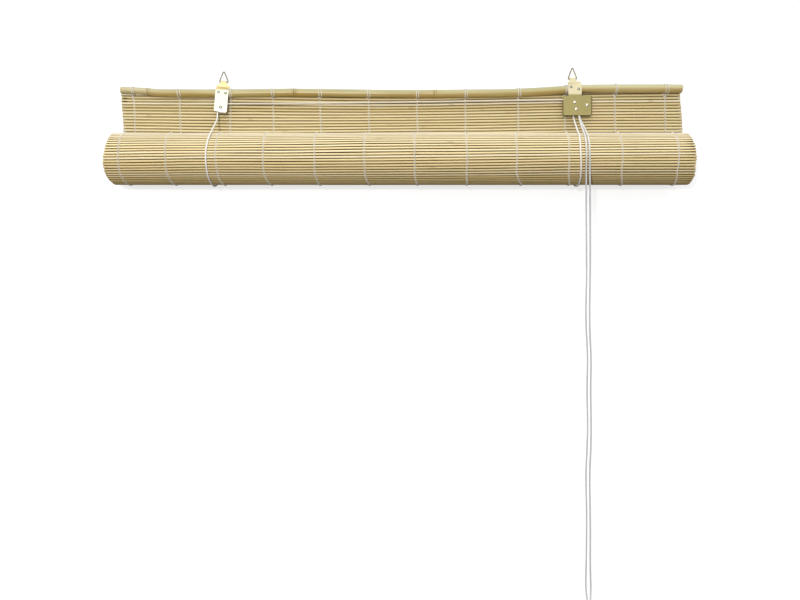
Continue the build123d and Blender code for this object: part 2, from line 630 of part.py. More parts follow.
hank_x = {"left": 308.0, "right": 324.6}
for side, lane in (("left", lane_a), ("right", lane_b)):
    route = pull_route(side, lane)
    radii = turn_radii(route)
    print(f"pull cord {side}: turn radii", [round(r, 1) for r in radii])
    tail_top = hank_top - hank_height
    tail_x = hank_x[side] + {"left": -6.4, "right": 6.4}[side]
    tail = [(tail_x, front_y + 2.0, tail_top + 0.1), (tail_x + 0.6, front_y + 2.2, tail_top - 9.0),
            (tail_x - 0.4, front_y + 1.6, tail_top - 19.0), (tail_x - 0.1, front_y + 1.7, tail_top - 29.0)]
    tail_radii = turn_radii(tail)
    with BuildPart() as pull_cord:
        with BuildLine() as pull_line:
            FilletPolyline(*route, radius=radii)
        with BuildSketch(Plane(origin=route[0], z_dir=Vector(*route[1]) - Vector(*route[0]))):
            Circle(cord_r)
        sweep()
        with BuildLine() as tail_line:
            FilletPolyline(*tail, radius=tail_radii)
        with BuildSketch(Plane(origin=tail[0], z_dir=Vector(*tail[1]) - Vector(*tail[0]))):
            Circle(cord_r)
        sweep(path=tail_line.line)
    finish(pull_cord, f"pull_cord_{side}")
    long = sum(e.length for e in pull_line.edges()) + sum(e.length for e in tail_line.edges())
    print(f"pull cord {side}: {long:.1f} mm of tube, volume over section {pull_cord.part.volume / (pi * cord_r ** 2):.1f} mm")

    # the put-away length: half of a neat hank, one half for each cord
    with BuildPart() as cord_hank:
        with BuildSketch(Plane(origin=(hank_x[side] - hank_width / 2, front_y, hank_top - hank_height / 2),
                               x_dir=(0, 0, 1), z_dir=(1, 0, 0))):
            SlotOverall(hank_height, hank_depth)
        extrude(amount=hank_width)
        fillet(cord_hank.edges().filter_by(GeomType.CIRCLE), 2.0)
    finish(cord_hank, f"cord_hank_{side}")

    with BuildPart() as end_knot:
        ex, ey, ez = tail[-1]
        with BuildSketch(Plane(origin=(ex, ey, ez), x_dir=(1, 0, 0), z_dir=(0, -1, 0))):
            with BuildLine():
                Polyline((0, 0), (0, -7.4))
                Spline((0, -7.4), (2.1, -6.6), (2.9, -3.8), (2.0, -1.0), (0, 0))
            make_face()
        revolve(axis=Axis((ex, ey, ez), (0, 0, 1)), revolution_arc=360)
    finish(end_knot, f"end_knot_{side}")

# the tie round the middle of both halves of the hank
with BuildPart() as hank_tie:
    mid_x = (hank_x["left"] + hank_x["right"]) / 2
    wide = hank_x["right"] - hank_x["left"] + hank_width
    with BuildSketch(Plane.XY.offset(hank_top - hank_height / 2 - 4.0)):
        with Locations((mid_x, front_y)):
            RectangleRounded(wide + 2 * 2.6 + 0.2, hank_depth + 2 * 2.6 + 0.2, 5.0)
            RectangleRounded(wide + 0.2, hank_depth + 0.2, 1.9, mode=Mode.SUBTRACT)
    extrude(amount=8.0)
    fillet(hank_tie.faces().filter_by(Axis.Z).edges(), 0.9)
finish(hank_tie, "hank_tie")
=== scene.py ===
import math

import bpy
import numpy as np
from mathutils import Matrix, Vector


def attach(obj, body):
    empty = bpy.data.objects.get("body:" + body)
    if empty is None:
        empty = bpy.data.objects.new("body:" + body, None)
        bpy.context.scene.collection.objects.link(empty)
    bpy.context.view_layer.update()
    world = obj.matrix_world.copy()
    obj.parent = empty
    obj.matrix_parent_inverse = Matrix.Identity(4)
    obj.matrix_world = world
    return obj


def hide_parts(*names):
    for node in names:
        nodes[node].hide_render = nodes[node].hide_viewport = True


# Bamboo roll-up blind. Everything below is written in millimetres and made in
# metres, in the CAD model's own frame: X along the blind, -Y to the room, +Z up.

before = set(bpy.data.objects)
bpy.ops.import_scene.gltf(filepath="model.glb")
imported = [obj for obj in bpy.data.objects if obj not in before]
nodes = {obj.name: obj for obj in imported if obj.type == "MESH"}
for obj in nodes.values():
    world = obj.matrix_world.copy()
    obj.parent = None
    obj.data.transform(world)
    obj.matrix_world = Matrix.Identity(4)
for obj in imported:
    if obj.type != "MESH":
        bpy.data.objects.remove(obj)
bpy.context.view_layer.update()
rng = np.random.default_rng(1600)
MM = 0.001

# ------------------------------------------------------------------ the camera
cam_data = bpy.data.cameras.new("camera")
cam = bpy.data.objects.new("camera", cam_data)
bpy.context.scene.collection.objects.link(cam)
cam.location = (-0.0009, -1.458, -0.411)
cam.rotation_euler = (math.radians(90), 0, 0)
cam_data.sensor_width = 36.0
cam_data.lens = 36.68
cam_data.clip_start, cam_data.clip_end = 0.05, 50
bpy.context.scene.camera = cam

# ------------------------------------------------------- sizes, as in the CAD
slat_t, slat_w = 1.4, 2.05
flat_pitch, roll_pitch, turn_pitch = 5.3, 4.9, 4.4
mat_y, first_slat_z, flat_count = 6.2, -50.9, 22
roll_r0 = 43.2 + turn_pitch / 2
roll_y, roll_z = mat_y - roll_r0, -164.6
thread_r, cord_r = 0.4, 1.3
back_cord_y = 9.2
lift_l_x, lift_r_x = -326.2, 304.0
lw_x, lw_z, lw_y, lw_cord_r = -319.7, -67.9, -4.375, 6.5
uw_x, uw_z, uw_cord_r = 309.9, -59.7, 5.9
rl_x, rl_z, rl_cord_r = 312.4, -71.6, 5.8
lane_a, lane_b = -5.8, -2.2
cane_line = [
    (-500, -35.5, 5.9), (-480, -36.2, 5.9), (-460, -37.2, 5.95), (-453, -37.8, 6.1),
    (-447, -39.2, 6.7), (-438, -40.3, 7.0),
    (-420, -40.9, 7.0), (-380, -41.2, 7.1), (-335, -41.2, 7.1), (-290, -41.1, 7.1),
    (-250, -40.6, 7.1), (-205, -40.0, 7.2), (-190.5, -39.9, 7.35), (-180, -40.0, 7.35),
    (-140, -40.5, 7.2), (-90, -41.2, 7.1), (-40, -41.9, 7.0), (0, -42.2, 7.0), (45, -42.5, 7.2),
    (60, -42.5, 7.35), (71, -42.4, 7.4), (110, -41.9, 7.4),
    (160, -41.4, 7.4), (200, -40.6, 7.4), (240, -39.0, 7.4), (272, -37.0, 7.5),
    (290, -35.6, 7.5), (305, -33.9, 7.5), (325, -33.3, 7.5), (380, -33.0, 7.6),
    (440, -33.0, 7.7), (480, -33.2, 7.7), (504, -33.4, 7.5),
]
cane_nodes = [-452.0, -190.5, 60.0, 305.0]
warp_top = [-479.0, -396.5, -304.4, -229.0, -144.5, -57.5, 29.5, 116.0, 211.0, 295.5, 384.5, 474.0]
warp_foot = [-472.5, -392.5, -306.5, -225.0, -141.0, -54.5, 31.0, 117.5, 211.5, 295.5, 386.0, 476.5]
warp_roll = [-476.9, -397.5, -312.0, -231.8, -145.8, -60.9, 23.9, 111.9, 196.9, 285.4, 375.0, 470.0]


def link(ob):
    bpy.context.scene.collection.objects.link(ob)
    return ob


# ------------------------------------------------------------- mesh building
class Soup:
    """Vertices, faces and per-vertex values of many parts that make one mesh."""

    def __init__(self):
        self.v, self.f, self.suv, self.val = [], [], [], []
        self.n = 0

    def add(self, v, f, suv=None, val=None):
        v = np.asarray(v, float).reshape(-1, 3)
        self.v.append(v)
        self.f += [[i + self.n for i in face] for face in f]
        self.suv.append(np.zeros((len(v), 3)) if suv is None else np.asarray(suv, float).reshape(-1, 3))
        self.val.append(np.zeros((len(v), 3)) if val is None else np.asarray(val, float).reshape(-1, 3))
        self.n += len(v)

    def make(self, name, material, sharp=50):
        me = bpy.data.meshes.new(name)
        me.from_pydata((np.concatenate(self.v) * MM).tolist(), [], self.f)
        me.polygons.foreach_set("use_smooth", np.ones(len(me.polygons), bool))
        for attr, data in (("suv", self.suv), ("val", self.val)):
            a = me.attributes.new(attr, "FLOAT_VECTOR", "POINT")
            a.data.foreach_set("vector", np.concatenate(data).astype(np.float32).ravel())
        me.materials.append(material)
        me.validate()
        if sharp:
            me.set_sharp_from_angle(angle=math.radians(sharp))
        me.update()
        return link(bpy.data.objects.new(name, me))


def ring_faces(n, m, closed=False):
    """Quads between n rings of m points."""
    out = []
    for i in range(n if closed else n - 1):
        a, b = i * m, ((i + 1) % n) * m
        out += [[a + j, a + (j + 1) % m, b + (j + 1) % m, b + j] for j in range(m)]
    return out


def frames(p):
    """Tangents and two turning-free normals along a line of points."""
    t = np.gradient(p, axis=0)
    t /= np.linalg.norm(t, axis=1)[:, None] + 1e-12
    u = np.zeros_like(p)
    ref = np.array([1.0, 0, 0]) if abs(t[0][0]) < 0.8 else np.array([0, 0, 1.0])
    u[0] = ref - t[0] * ref.dot(t[0])
    u[0] /= np.linalg.norm(u[0])
    for i in range(1, len(p)):
        w = u[i - 1] - t[i] * u[i - 1].dot(t[i])
        u[i] = w / (np.linalg.norm(w) + 1e-12)
    return t, u, np.cross(t, u)


def tube(soup, p, r, sides=8, val=(0, 0, 0), caps=True, s0=0.0):
    p = np.asarray(p, float)
    t, u, w = frames(p)
    r = np.broadcast_to(np.asarray(r, float), (len(p),))
    a = np.linspace(0, 2 * math.pi, sides, endpoint=False)
    ring = p[:, None, :] + r[:, None, None] * (np.cos(a)[None, :, None] * u[:, None, :] + np.sin(a)[None, :, None] * w[:, None, :])
    s = s0 + np.concatenate([[0], np.cumsum(np.linalg.norm(np.diff(p, axis=0), axis=1))])
    suv = np.stack([np.repeat(s[:, None], sides, 1), np.repeat(a[None, :], len(p), 0), np.zeros((len(p), sides))], -1)
    f = ring_faces(len(p), sides)
    if caps:
        f.append(list(range(sides))[::-1])
        f.append([(len(p) - 1) * sides + j for j in range(sides)])
    soup.add(ring.reshape(-1, 3), f, suv.reshape(-1, 3), np.tile(np.asarray(val, float), (len(p) * sides, 1)))
    return s[-1]


def spline_points(name, points, resolution=6):
    """A smooth NURBS line through control points in millimetres, and its points."""
    cu = bpy.data.curves.new(name, "CURVE")
    cu.dimensions = "3D"
    cu.resolution_u = resolution
    sp = cu.splines.new("NURBS")
    sp.points.add(len(points) - 1)
    for q, c in zip(sp.points, points):
        q.co = (c[0] * MM, c[1] * MM, c[2] * MM, 1.0)
    sp.order_u = 3
    sp.use_endpoint_u = True
    ob = link(bpy.data.objects.new(name, cu))
    bpy.context.view_layer.update()
    me = bpy.data.meshes.new_from_object(ob)
    out = np.array([v.co for v in me.vertices], float) / MM
    bpy.data.meshes.remove(me)
    bpy.data.objects.remove(ob)
    bpy.data.curves.remove(cu)
    keep = np.concatenate([[True], np.linalg.norm(np.diff(out, axis=0), axis=1) > 1e-4])
    return out[keep]


def smooth_noise(n, step, amount, gen=rng):
    """n values that wander slowly, with a knot every step samples."""
    k = max(4, int(n / step) + 4)
    knots = gen.normal(0, amount, k)
    x = np.linspace(1, k - 2.001, n)
    i = x.astype(int)
    t = x - i
    t = t * t * (3 - 2 * t)
    return knots[i] * (1 - t) + knots[i + 1] * t


# -------------------------------------------------------------------- shading
def srgb(r, g, b):
    return tuple((c / 255 / 12.92) if c / 255 <= 0.04045 else ((c / 255 + 0.055) / 1.055) ** 2.4 for c in (r, g, b)) + (1.0,)


class Nodes:
    """A short way to write a node tree."""

    def __init__(self, name):
        self.mat = bpy.data.materials.new(name)
        self.mat.use_nodes = True
        self.t = self.mat.node_tree
        self.bsdf = self.t.nodes["Principled BSDF"]

    def put(self, kind, **inputs):
        node = self.t.nodes.new(kind)
        for k, v in inputs.items():
            if k in ("operation", "blend_type", "data_type", "attribute_name", "wave_type", "bands_direction", "wave_profile",
                     "feature", "distance", "noise_dimensions", "voronoi_dimensions", "normalize", "clamp", "use_clamp", "vector_type", "invert"):
                setattr(node, k, v)
        for k, v in inputs.items():
            if k in node.inputs:
                self.set(node.inputs[k], v)
        return node

    def set(self, socket, v):
        if isinstance(v, bpy.types.NodeSocket):
            self.t.links.new(v, socket)
        else:
            socket.default_value = v

    def attr(self, name):
        return self.put("ShaderNodeAttribute", attribute_name=name)

    def split(self, vector):
        n = self.t.nodes.new("ShaderNodeSeparateXYZ")
        self.t.links.new(vector, n.inputs[0])
        return n.outputs

    def join(self, x, y, z):
        n = self.t.nodes.new("ShaderNodeCombineXYZ")
        for s, v in zip(n.inputs, (x, y, z)):
            self.set(s, v)
        return n.outputs[0]

    def math(self, op, a, b=None, clamp=False):
        n = self.t.nodes.new("ShaderNodeMath")
        n.operation, n.use_clamp = op, clamp
        self.set(n.inputs[0], a)
        if b is not None:
            self.set(n.inputs[1], b)
        return n.outputs[0]

    def scale(self, vector, factors):
        n = self.t.nodes.new("ShaderNodeVectorMath")
        n.operation = "MULTIPLY"
        self.t.links.new(vector, n.inputs[0])
        n.inputs[1].default_value = factors
        return n.outputs[0]

    def noise(self, vector, scale=1.0, detail=3.0, rough=0.55):
        n = self.t.nodes.new("ShaderNodeTexNoise")
        self.t.links.new(vector, n.inputs["Vector"])
        n.inputs["Scale"].default_value = scale
        n.inputs["Detail"].default_value = detail
        n.inputs["Roughness"].default_value = rough
        return n.outputs["Fac"]

    def ramp(self, fac, stops, smooth=False):
        n = self.t.nodes.new("ShaderNodeValToRGB")
        self.t.links.new(fac, n.inputs[0])
        if smooth:
            n.color_ramp.interpolation = "EASE"
        el = n.color_ramp.elements
        while len(el) < len(stops):
            el.new(0.5)
        for e, (p, c) in zip(el, stops):
            e.position = p
            e.color = c if hasattr(c, "__len__") else (c, c, c, 1)
        return n.outputs[0]

    def mix(self, fac, a, b, blend="MIX"):
        n = self.t.nodes.new("ShaderNodeMix")
        n.data_type, n.blend_type = "RGBA", blend
        self.set(n.inputs[0], fac)
        self.set(n.inputs[6], a)
        self.set(n.inputs[7], b)
        return n.outputs[2]

    def bump(self, height, distance, strength=1.0, normal=None):
        n = self.t.nodes.new("ShaderNodeBump")
        n.inputs["Strength"].default_value = strength
        n.inputs["Distance"].default_value = distance
        self.t.links.new(height, n.inputs["Height"])
        if normal is not None:
            self.t.links.new(normal, n.inputs["Normal"])
        return n.outputs[0]

    def surface(self, color=None, rough=None, normal=None, **constants):
        if color is not None:
            self.set(self.bsdf.inputs["Base Color"], color)
        if rough is not None:
            self.set(self.bsdf.inputs["Roughness"], rough)
        if normal is not None:
            self.set(self.bsdf.inputs["Normal"], normal)
        for k, v in constants.items():
            self.bsdf.inputs[k.replace("_", " ")].default_value = v
        return self.mat

    def up(self):
        """0 where the surface faces down, 1 where it faces up."""
        n = self.t.nodes.new("ShaderNodeNewGeometry")
        return self.math("ADD", self.math("MULTIPLY", self.split(n.outputs["Normal"])[2], 0.5), 0.5)

    def position(self):
        n = self.t.nodes.new("ShaderNodeTexCoord")
        return n.outputs["Object"]


def stick_material(name):
    """Split bamboo. suv is (along, across, seed) in mm; val is (tone, flank, joint), where flank is painted shade on
    the sides of each stick.
    """
    k = Nodes(name)
    suv = k.attr("suv").outputs["Vector"]
    val = k.attr("val").outputs["Vector"]
    tone, flank_shade, joint = k.split(val)
    sx, sy, seed = k.split(suv)
    along = k.join(k.math("MULTIPLY", sx, 0.012), k.math("MULTIPLY", sy, 1.6), k.math("MULTIPLY", seed, 37.0))
    streak = k.noise(along, 1.0, 4.0, 0.6)
    wide = k.noise(k.join(k.math("MULTIPLY", sx, 0.0035), k.math("MULTIPLY", sy, 0.15), k.math("MULTIPLY", seed, 11.0)), 1.0, 2.0)
    fibre = k.noise(k.join(k.math("MULTIPLY", sx, 0.05), k.math("MULTIPLY", sy, 6.0), k.math("MULTIPLY", seed, 53.0)), 1.0, 3.0, 0.7)
    base = k.ramp(tone, [(0.0, srgb(225, 204, 149)), (0.35, srgb(237, 219, 168)), (0.75, srgb(246, 231, 186)), (1.0, srgb(251, 240, 206))])
    base = k.mix(k.ramp(streak, [(0.35, 0.0), (0.72, 0.42)]), base, srgb(189, 164, 104))
    base = k.mix(k.ramp(wide, [(0.4, 0.0), (0.75, 0.35)]), base, srgb(240, 222, 180))
    base = k.mix(k.ramp(fibre, [(0.55, 0.0), (0.8, 0.22)]), base, srgb(168, 130, 74))
    base = k.mix(k.math("MULTIPLY", joint, 0.55, True), base, srgb(140, 98, 48))
    # painted highlight: what faces up is paled towards white
    base = k.mix(k.ramp(k.up(), [(0.72, 0.0), (0.98, 0.55)]), base, srgb(250, 244, 232))
    # painted shade: on the front of the roll, what faces down is tinted a darker, deeper yellow
    rolled = k.ramp(k.math("MULTIPLY", k.split(k.position())[1], -10.0), [(0.1, 0.0), (0.16, 1.0)])
    base = k.mix(k.math("MULTIPLY", rolled, k.ramp(k.up(), [(0.0, 0.44), (0.85, 0.0)])), base, srgb(225, 184, 108))
    # painted shade: the sides of each stick are darkened to brown, and to near-black where the flank value passes 1
    base = k.mix(k.math("MULTIPLY", flank_shade, 0.93, True), base, srgb(104, 82, 12))
    base = k.mix(k.math("SUBTRACT", flank_shade, 1.0, True), base, srgb(58, 42, 20))
    rough = k.ramp(streak, [(0.2, 0.42), (0.8, 0.62)])
    height = k.math("ADD", k.math("MULTIPLY", fibre, 0.6), k.math("MULTIPLY", streak, 0.7))
    return k.surface(base, rough, k.bump(height, 0.00022, 0.8), Specular_IOR_Level=0.22)


def cane_material(name):
    """Natural cane. val is (node, stain, end) for the made mesh; position does the rest."""
    k = Nodes(name)
    pos = k.position()
    val = k.attr("val").outputs["Vector"]
    node, stain, end = k.split(val)
    x, y, z = k.split(pos)
    fibres = k.noise(k.scale(pos, (9, 900, 900)), 1.0, 4.0, 0.65)
    blotch = k.noise(k.scale(pos, (12, 60, 60)), 1.0, 3.0, 0.5)
    cloud = k.noise(k.scale(pos, (2.2, 30, 30)), 1.0, 2.0, 0.5)
    base = k.ramp(blotch, [(0.25, srgb(170, 158, 100)), (0.5, srgb(184, 173, 117)), (0.78, srgb(198, 189, 142))])
    base = k.mix(k.ramp(cloud, [(0.4, 0.0), (0.75, 0.55)]), base, srgb(172, 163, 96))
    base = k.mix(k.ramp(fibres, [(0.5, 0.0), (0.85, 0.35)]), base, srgb(158, 136, 76))
    # the thin end beyond the first joint has weathered paler and greyer
    pale = k.ramp(k.math("ADD", k.math("MULTIPLY", x, 1.0), 0.5), [(0.0465, 1.0), (0.0495, 0.0)])
    base = k.mix(k.math("MULTIPLY", pale, 0.7), base, srgb(204, 190, 148))
    base = k.mix(k.ramp(k.math("ADD", x, 0.5), [(0.78, 0.0), (0.83, 0.4)]), base, srgb(222, 212, 166))
    # painted sheen: what faces up is greyed, less yellow
    base = k.mix(k.ramp(k.up(), [(0.55, 0.0), (0.92, 0.6)]), base, srgb(150, 151, 134))
    base = k.mix(k.math("MULTIPLY", stain, 0.75, True), base, srgb(162, 120, 40))
    base = k.mix(k.math("MULTIPLY", node, 0.8, True), base, srgb(118, 92, 48))
    base = k.mix(k.math("MULTIPLY", end, 1.0, True), base, srgb(205, 186, 140))
    rough = k.ramp(fibres, [(0.2, 0.26), (0.8, 0.44)])
    height = k.math("ADD", k.math("MULTIPLY", fibres, 0.5), k.math("MULTIPLY", blotch, 0.5))
    return k.surface(base, rough, k.bump(height, 0.00018, 0.6), Specular_IOR_Level=0.62)


def thread_material(name, color, shade_and_grime, turn, depth, hanging_shade=None, mat_level_tint=None):
    """Twisted or braided yarn. suv is (along mm, angle round it). A painted-shade colour, where given, greys the pull
    below the roll.
    """
    k = Nodes(name)
    along, round_, _ = k.split(k.attr("suv").outputs["Vector"])
    a = k.math("MULTIPLY", along, 2 * math.pi / turn)
    if depth > 0.5:  # braid: two sets of strands, crossing
        one = k.math("SINE", k.math("ADD", a, k.math("MULTIPLY", round_, 4.0)))
        two = k.math("SINE", k.math("SUBTRACT", a, k.math("MULTIPLY", round_, 4.0)))
        weave = k.math("MAXIMUM", one, two)
    else:
        weave = k.math("SINE", k.math("ADD", a, k.math("MULTIPLY", round_, 2.0)))
    lift = k.math("ADD", k.math("MULTIPLY", weave, 0.5), 0.5)
    fuzz = k.noise(k.position(), 2600.0, 3.0, 0.7)
    grime = k.noise(k.position(), 18.0, 2.0, 0.5)
    # painted shade: the low parts of the weave pattern are darkened towards the shade colour
    base = k.mix(k.ramp(lift, [(0.0, 0.42), (0.6, 0.0)]), color, shade_and_grime)
    base = k.mix(k.ramp(grime, [(0.45, 0.0), (0.8, 0.18)]), base, shade_and_grime)
    base = k.mix(k.ramp(fuzz, [(0.5, 0.0), (0.9, 0.2)]), base, shade_and_grime)
    # painted shade: below the roll the cord is greyed, less so in the hank
    if hanging_shade is not None:
        drop = k.math("MULTIPLY", k.split(k.position())[2], -4.0)
        hank = k.ramp(k.math("MULTIPLY", k.split(k.position())[2], -1.0), [(0.9, 1.0), (0.96, 0.25)])
        base = k.mix(k.math("MULTIPLY", k.ramp(drop, [(0.6, 0.0), (0.72, 0.55)]), hank), base, hanging_shade)
    if mat_level_tint is not None:                            # the run across the mat, level with the wheels
        level = k.math("MULTIPLY", k.split(k.position())[2], -10.0)
        # the run is tinted towards a darker beige
        base = k.mix(k.ramp(level, [(0.64, 0.5), (0.7, 0.0)]), base, mat_level_tint)
    height = k.math("ADD", lift, k.math("MULTIPLY", fuzz, 0.35))
    return k.surface(base, k.ramp(fuzz, [(0.2, 0.7), (0.8, 0.9)]), k.bump(height, 0.00018 if depth > 0.5 else 0.0001, 0.9),
                     Specular_IOR_Level=0.2, Sheen_Weight=0.15, Sheen_Roughness=0.5)


def metal_material(name, low, high, rough_low, rough_high, metallic=1.0, z_line=None, bright=None):
    """Plated or drawn metal: fine scratches, cloudy plating, worn spots."""
    k = Nodes(name)
    pos = k.position()
    brushed = k.noise(k.scale(pos, (260, 260, 3200)), 1.0, 3.0, 0.6)
    cloud = k.noise(pos, 130.0, 3.0, 0.55)
    spots = k.noise(pos, 900.0, 2.0, 0.5)
    base = k.mix(cloud, low, high)
    # painted highlight: above z_line the colour changes to the bright colour
    if z_line is not None:
        z = k.split(pos)[2]
        up = k.ramp(k.math("MULTIPLY", k.math("ADD", z, 0.1), 10.0), [((z_line - 0.0014 + 0.1) * 10, 0.0), ((z_line + 0.0014 + 0.1) * 10, 1.0)])
        base = k.mix(up, base, bright)
    base = k.mix(k.ramp(spots, [(0.68, 0.0), (0.78, 0.35)]), base, tuple(0.55 * c for c in low[:3]) + (1,))
    rough = k.ramp(k.math("ADD", k.math("MULTIPLY", brushed, 0.6), k.math("MULTIPLY", cloud, 0.4)), [(0.25, rough_low), (0.75, rough_high)])
    return k.surface(base, rough, k.bump(brushed, 0.00003, 0.5), Metallic=metallic)


def nylon_material(name):
    k = Nodes(name)
    pos = k.position()
    n = k.noise(pos, 500.0, 3.0, 0.6)
    base = k.ramp(n, [(0.3, srgb(214, 210, 196)), (0.7, srgb(232, 229, 218))])
    return k.surface(base, k.ramp(n, [(0.2, 0.35), (0.8, 0.5)]), k.bump(n, 0.00003, 0.4), Specular_IOR_Level=0.45,
                     Subsurface_Weight=0.08, Subsurface_Scale=0.002)


stick_mat = stick_material("split_bamboo")
cane_mat = cane_material("natural_cane")
warp_mat = thread_material("warp_yarn", srgb(226, 222, 210), srgb(164, 157, 138), 1.6, 0.3)
# painted light and shade: one cord in two copies; the pull cords' copy has a darker shade colour and painted shade
# below the roll, the lift cords' copy is painted lighter
cord_mat = thread_material("braided_cord", srgb(228, 227, 225), srgb(122, 120, 125), 3.4, 1.0, srgb(148, 148, 153))
lift_mat = thread_material("braided_cord_lighter_copy", srgb(240, 237, 232), srgb(168, 160, 152), 3.4, 1.0, mat_level_tint=srgb(206, 188, 146))
# painted reflection and shade: both brackets are one brass plating; the pulley bracket's copy is painted near-white for
# reflection, the lock bracket's copy olive for shade, each with a painted highlight band above its z_line
plate_left_mat = metal_material("brass_plating_lit_copy", srgb(188, 186, 170), srgb(202, 200, 186), 0.26, 0.42, 1.0, -0.0368, srgb(206, 190, 138))
plate_right_mat = metal_material("brass_plating", srgb(149, 138, 88), srgb(162, 152, 103), 0.34, 0.48, 0.9, -0.0452, srgb(211, 201, 166))
rivet_mat = metal_material("rivet_steel", srgb(214, 208, 186), srgb(238, 234, 220), 0.2, 0.34)
screw_mat = metal_material("screw_steel", srgb(140, 138, 130), srgb(182, 180, 172), 0.26, 0.42)
lock_mat = metal_material("lock_steel", srgb(140, 136, 122), srgb(176, 172, 158), 0.3, 0.48)
ring_mat = metal_material("ring_wire", srgb(116, 108, 80), srgb(160, 150, 118), 0.26, 0.42)
nylon_mat = nylon_material("white_nylon")


# ------------------------------------------------------------------ the cords
def on_circle(cx, cy, r, a0, a1, n):
    """Corners of the polygon that a circle touches, from angle a0 to a1."""
    step = (a1 - a0) / n
    rr = r / math.cos(step / 2)
    return [(cx + rr * math.cos(a0 + (i + 0.5) * step), cy + rr * math.sin(a0 + (i + 0.5) * step)) for i in range(n)]



pull_points = {
    "left": [
        (318.22, -5.8, -75.0), (318.22, -5.8, -86.0), (316.6, -21.57, -97.07), (314.9, -46.73, -114.23), (314.0, -71.96, -131.25),
        (313.6, -80.96, -143.39), (313.4, -85.7, -157.74), (312.9, -85.6, -184.0), (312.6, -86.0, -224.0), (312.9, -85.4, -272.0),
        (313.1, -86.1, -330.0), (313.4, -85.5, -383.0), (311.9, -85.2, -428.0), (312.9, -86.2, -470.0), (315.5, -85.4, -510.0),
        (313.7, -85.1, -562.0), (315.3, -86.1, -618.0), (314.1, -85.5, -664.0), (311.8, -85.3, -706.0), (313.3, -86.0, -758.0),
        (313.3, -85.4, -806.0), (312.7, -85.9, -856.0), (311.5, -85.5, -895.0)],
    "right": [
        (318.22, -2.2, -75.0), (319.82, -2.2, -86.0), (320.0, -18.66, -96.88), (319.3, -44.89, -113.75), (318.9, -71.2, -130.47),
        (318.7, -80.69, -142.8), (318.8, -85.7, -157.52), (318.9, -85.6, -184.0), (318.9, -86.0, -224.0), (319.2, -85.4, -272.0),
        (319.4, -86.1, -330.0), (319.1, -85.5, -383.0), (318.2, -85.2, -428.0), (318.6, -86.2, -470.0), (321.1, -85.4, -510.0),
        (319.9, -85.1, -562.0), (320.9, -86.1, -618.0), (320.4, -85.5, -664.0), (318.1, -85.3, -706.0), (319.0, -86.0, -758.0),
        (319.7, -85.4, -806.0), (319.1, -85.9, -856.0), (320.6, -85.5, -895.0)],
}

# The hank: two halves side by side, each wound in three layers from the inside
# out, its last turn rising to the hanging cord. Turns lie a diameter apart.
hank_top, hank_height = -928.0, 78.0
hank_x = {"left": 308.0, "right": 324.6}
front_y = -85.7
fold = {0: 6.5, 1: 9.1, 2: 11.7}
hank_mid = hank_top - hank_height / 2
run_half = hank_height / 2 - 13.0
gap = 2.68


def hank_points(side):
    """Control points from the hanging cord, down into the outer layer, and turn by
    turn to the inner one, then out at the bottom: 16 to a turn."""
    s = -1 if side == "left" else 1            # the way the outer layer travels
    mid = hank_x[side]
    out = []
    per_layer = 6
    g = np.random.default_rng(5 if side == "left" else 6)
    layers = [2, 1, 0]
    x0 = mid - s * gap * (per_layer - 1) / 2
    # angle 0 is the front (-Y), turning down, back, up: front run first
    way = s
    x = x0
    first = True
    for li, layer in enumerate(layers):
        r = fold[layer]
        turns = per_layer
        for n in range(turns):
            corners = []
            k = 1.035
            jitter = lambda a: float(g.normal(0, a))
            corners.append((0.0, -r, run_half * 0.45))
            corners.append((0.1, -r, -run_half * 0.45))
            for j in range(6):
                a = math.pi * (j + 0.5) / 6
                corners.append((0.15 + 0.35 * (j + 0.5) / 6, -r * k * math.cos(a), -run_half - r * k * math.sin(a)))
            corners.append((0.55, r, -run_half * 0.45))
            corners.append((0.6, r, run_half * 0.45))
            for j in range(6):
                a = math.pi * (j + 0.5) / 6
                rr = r
                if n == turns - 1 and li < 2:   # the step in to the next layer
                    rr = r - 2.6 * (j + 0.5) / 6
                corners.append((0.65 + 0.35 * (j + 0.5) / 6, rr * k * math.cos(a), run_half + rr * k * math.sin(a)))
            last = n == turns - 1
            for f, dy, dz in corners:
                move = f * gap * way if not last else 0.0
                out.append((x + move + jitter(0.03), front_y + dy, hank_mid + dz + jitter(0.12)))
            if not last:
                x += gap * way
        way = -way
    return out, x


def pull_line(side):
    route = list(pull_points[side])
    wound, x_end = hank_points(side)
    # from the hanging run to the front of the outer layer's first turn
    x_in = wound[0][0]
    route += [(x_in * 0.7 + route[-1][0] * 0.3, front_y - 3.0, -914.0), (x_in, front_y - 11.3, -931.0), (x_in, front_y - 12.2, -946.0)]
    s = -1 if side == "left" else 1
    low = hank_top - hank_height
    route += wound[:-14]                        # the inner layer's last run goes straight down
    bx = x_end + 2.75 * s                       # beside the folds, clear of them
    route += [(x_end + 0.6 * s, front_y - 6.4, low + 18.0), (x_end + 2.2 * s, front_y - 5.0, low + 9.0), (bx, front_y - 2.0, low + 1.0),
              (bx + 0.3, front_y + 0.8, low - 8.0), (bx - 0.5, front_y + 1.2, low - 18.0), (bx - 0.1, front_y + 1.7, low - 28.0)]
    return route


def line_length(p):
    return float(np.linalg.norm(np.diff(p, axis=0), axis=1).sum())


def overhand(center, a=1.0, turn=0.0, n=90):
    t = np.linspace(0, 2 * math.pi, n, endpoint=False)
    p = np.stack([(2 + np.cos(3 * t)) * np.cos(2 * t + turn), (2 + np.cos(3 * t)) * np.sin(2 * t + turn), 1.25 * np.sin(3 * t)], 1) * a
    p = np.concatenate([p, p[:1]])
    return p + np.asarray(center)


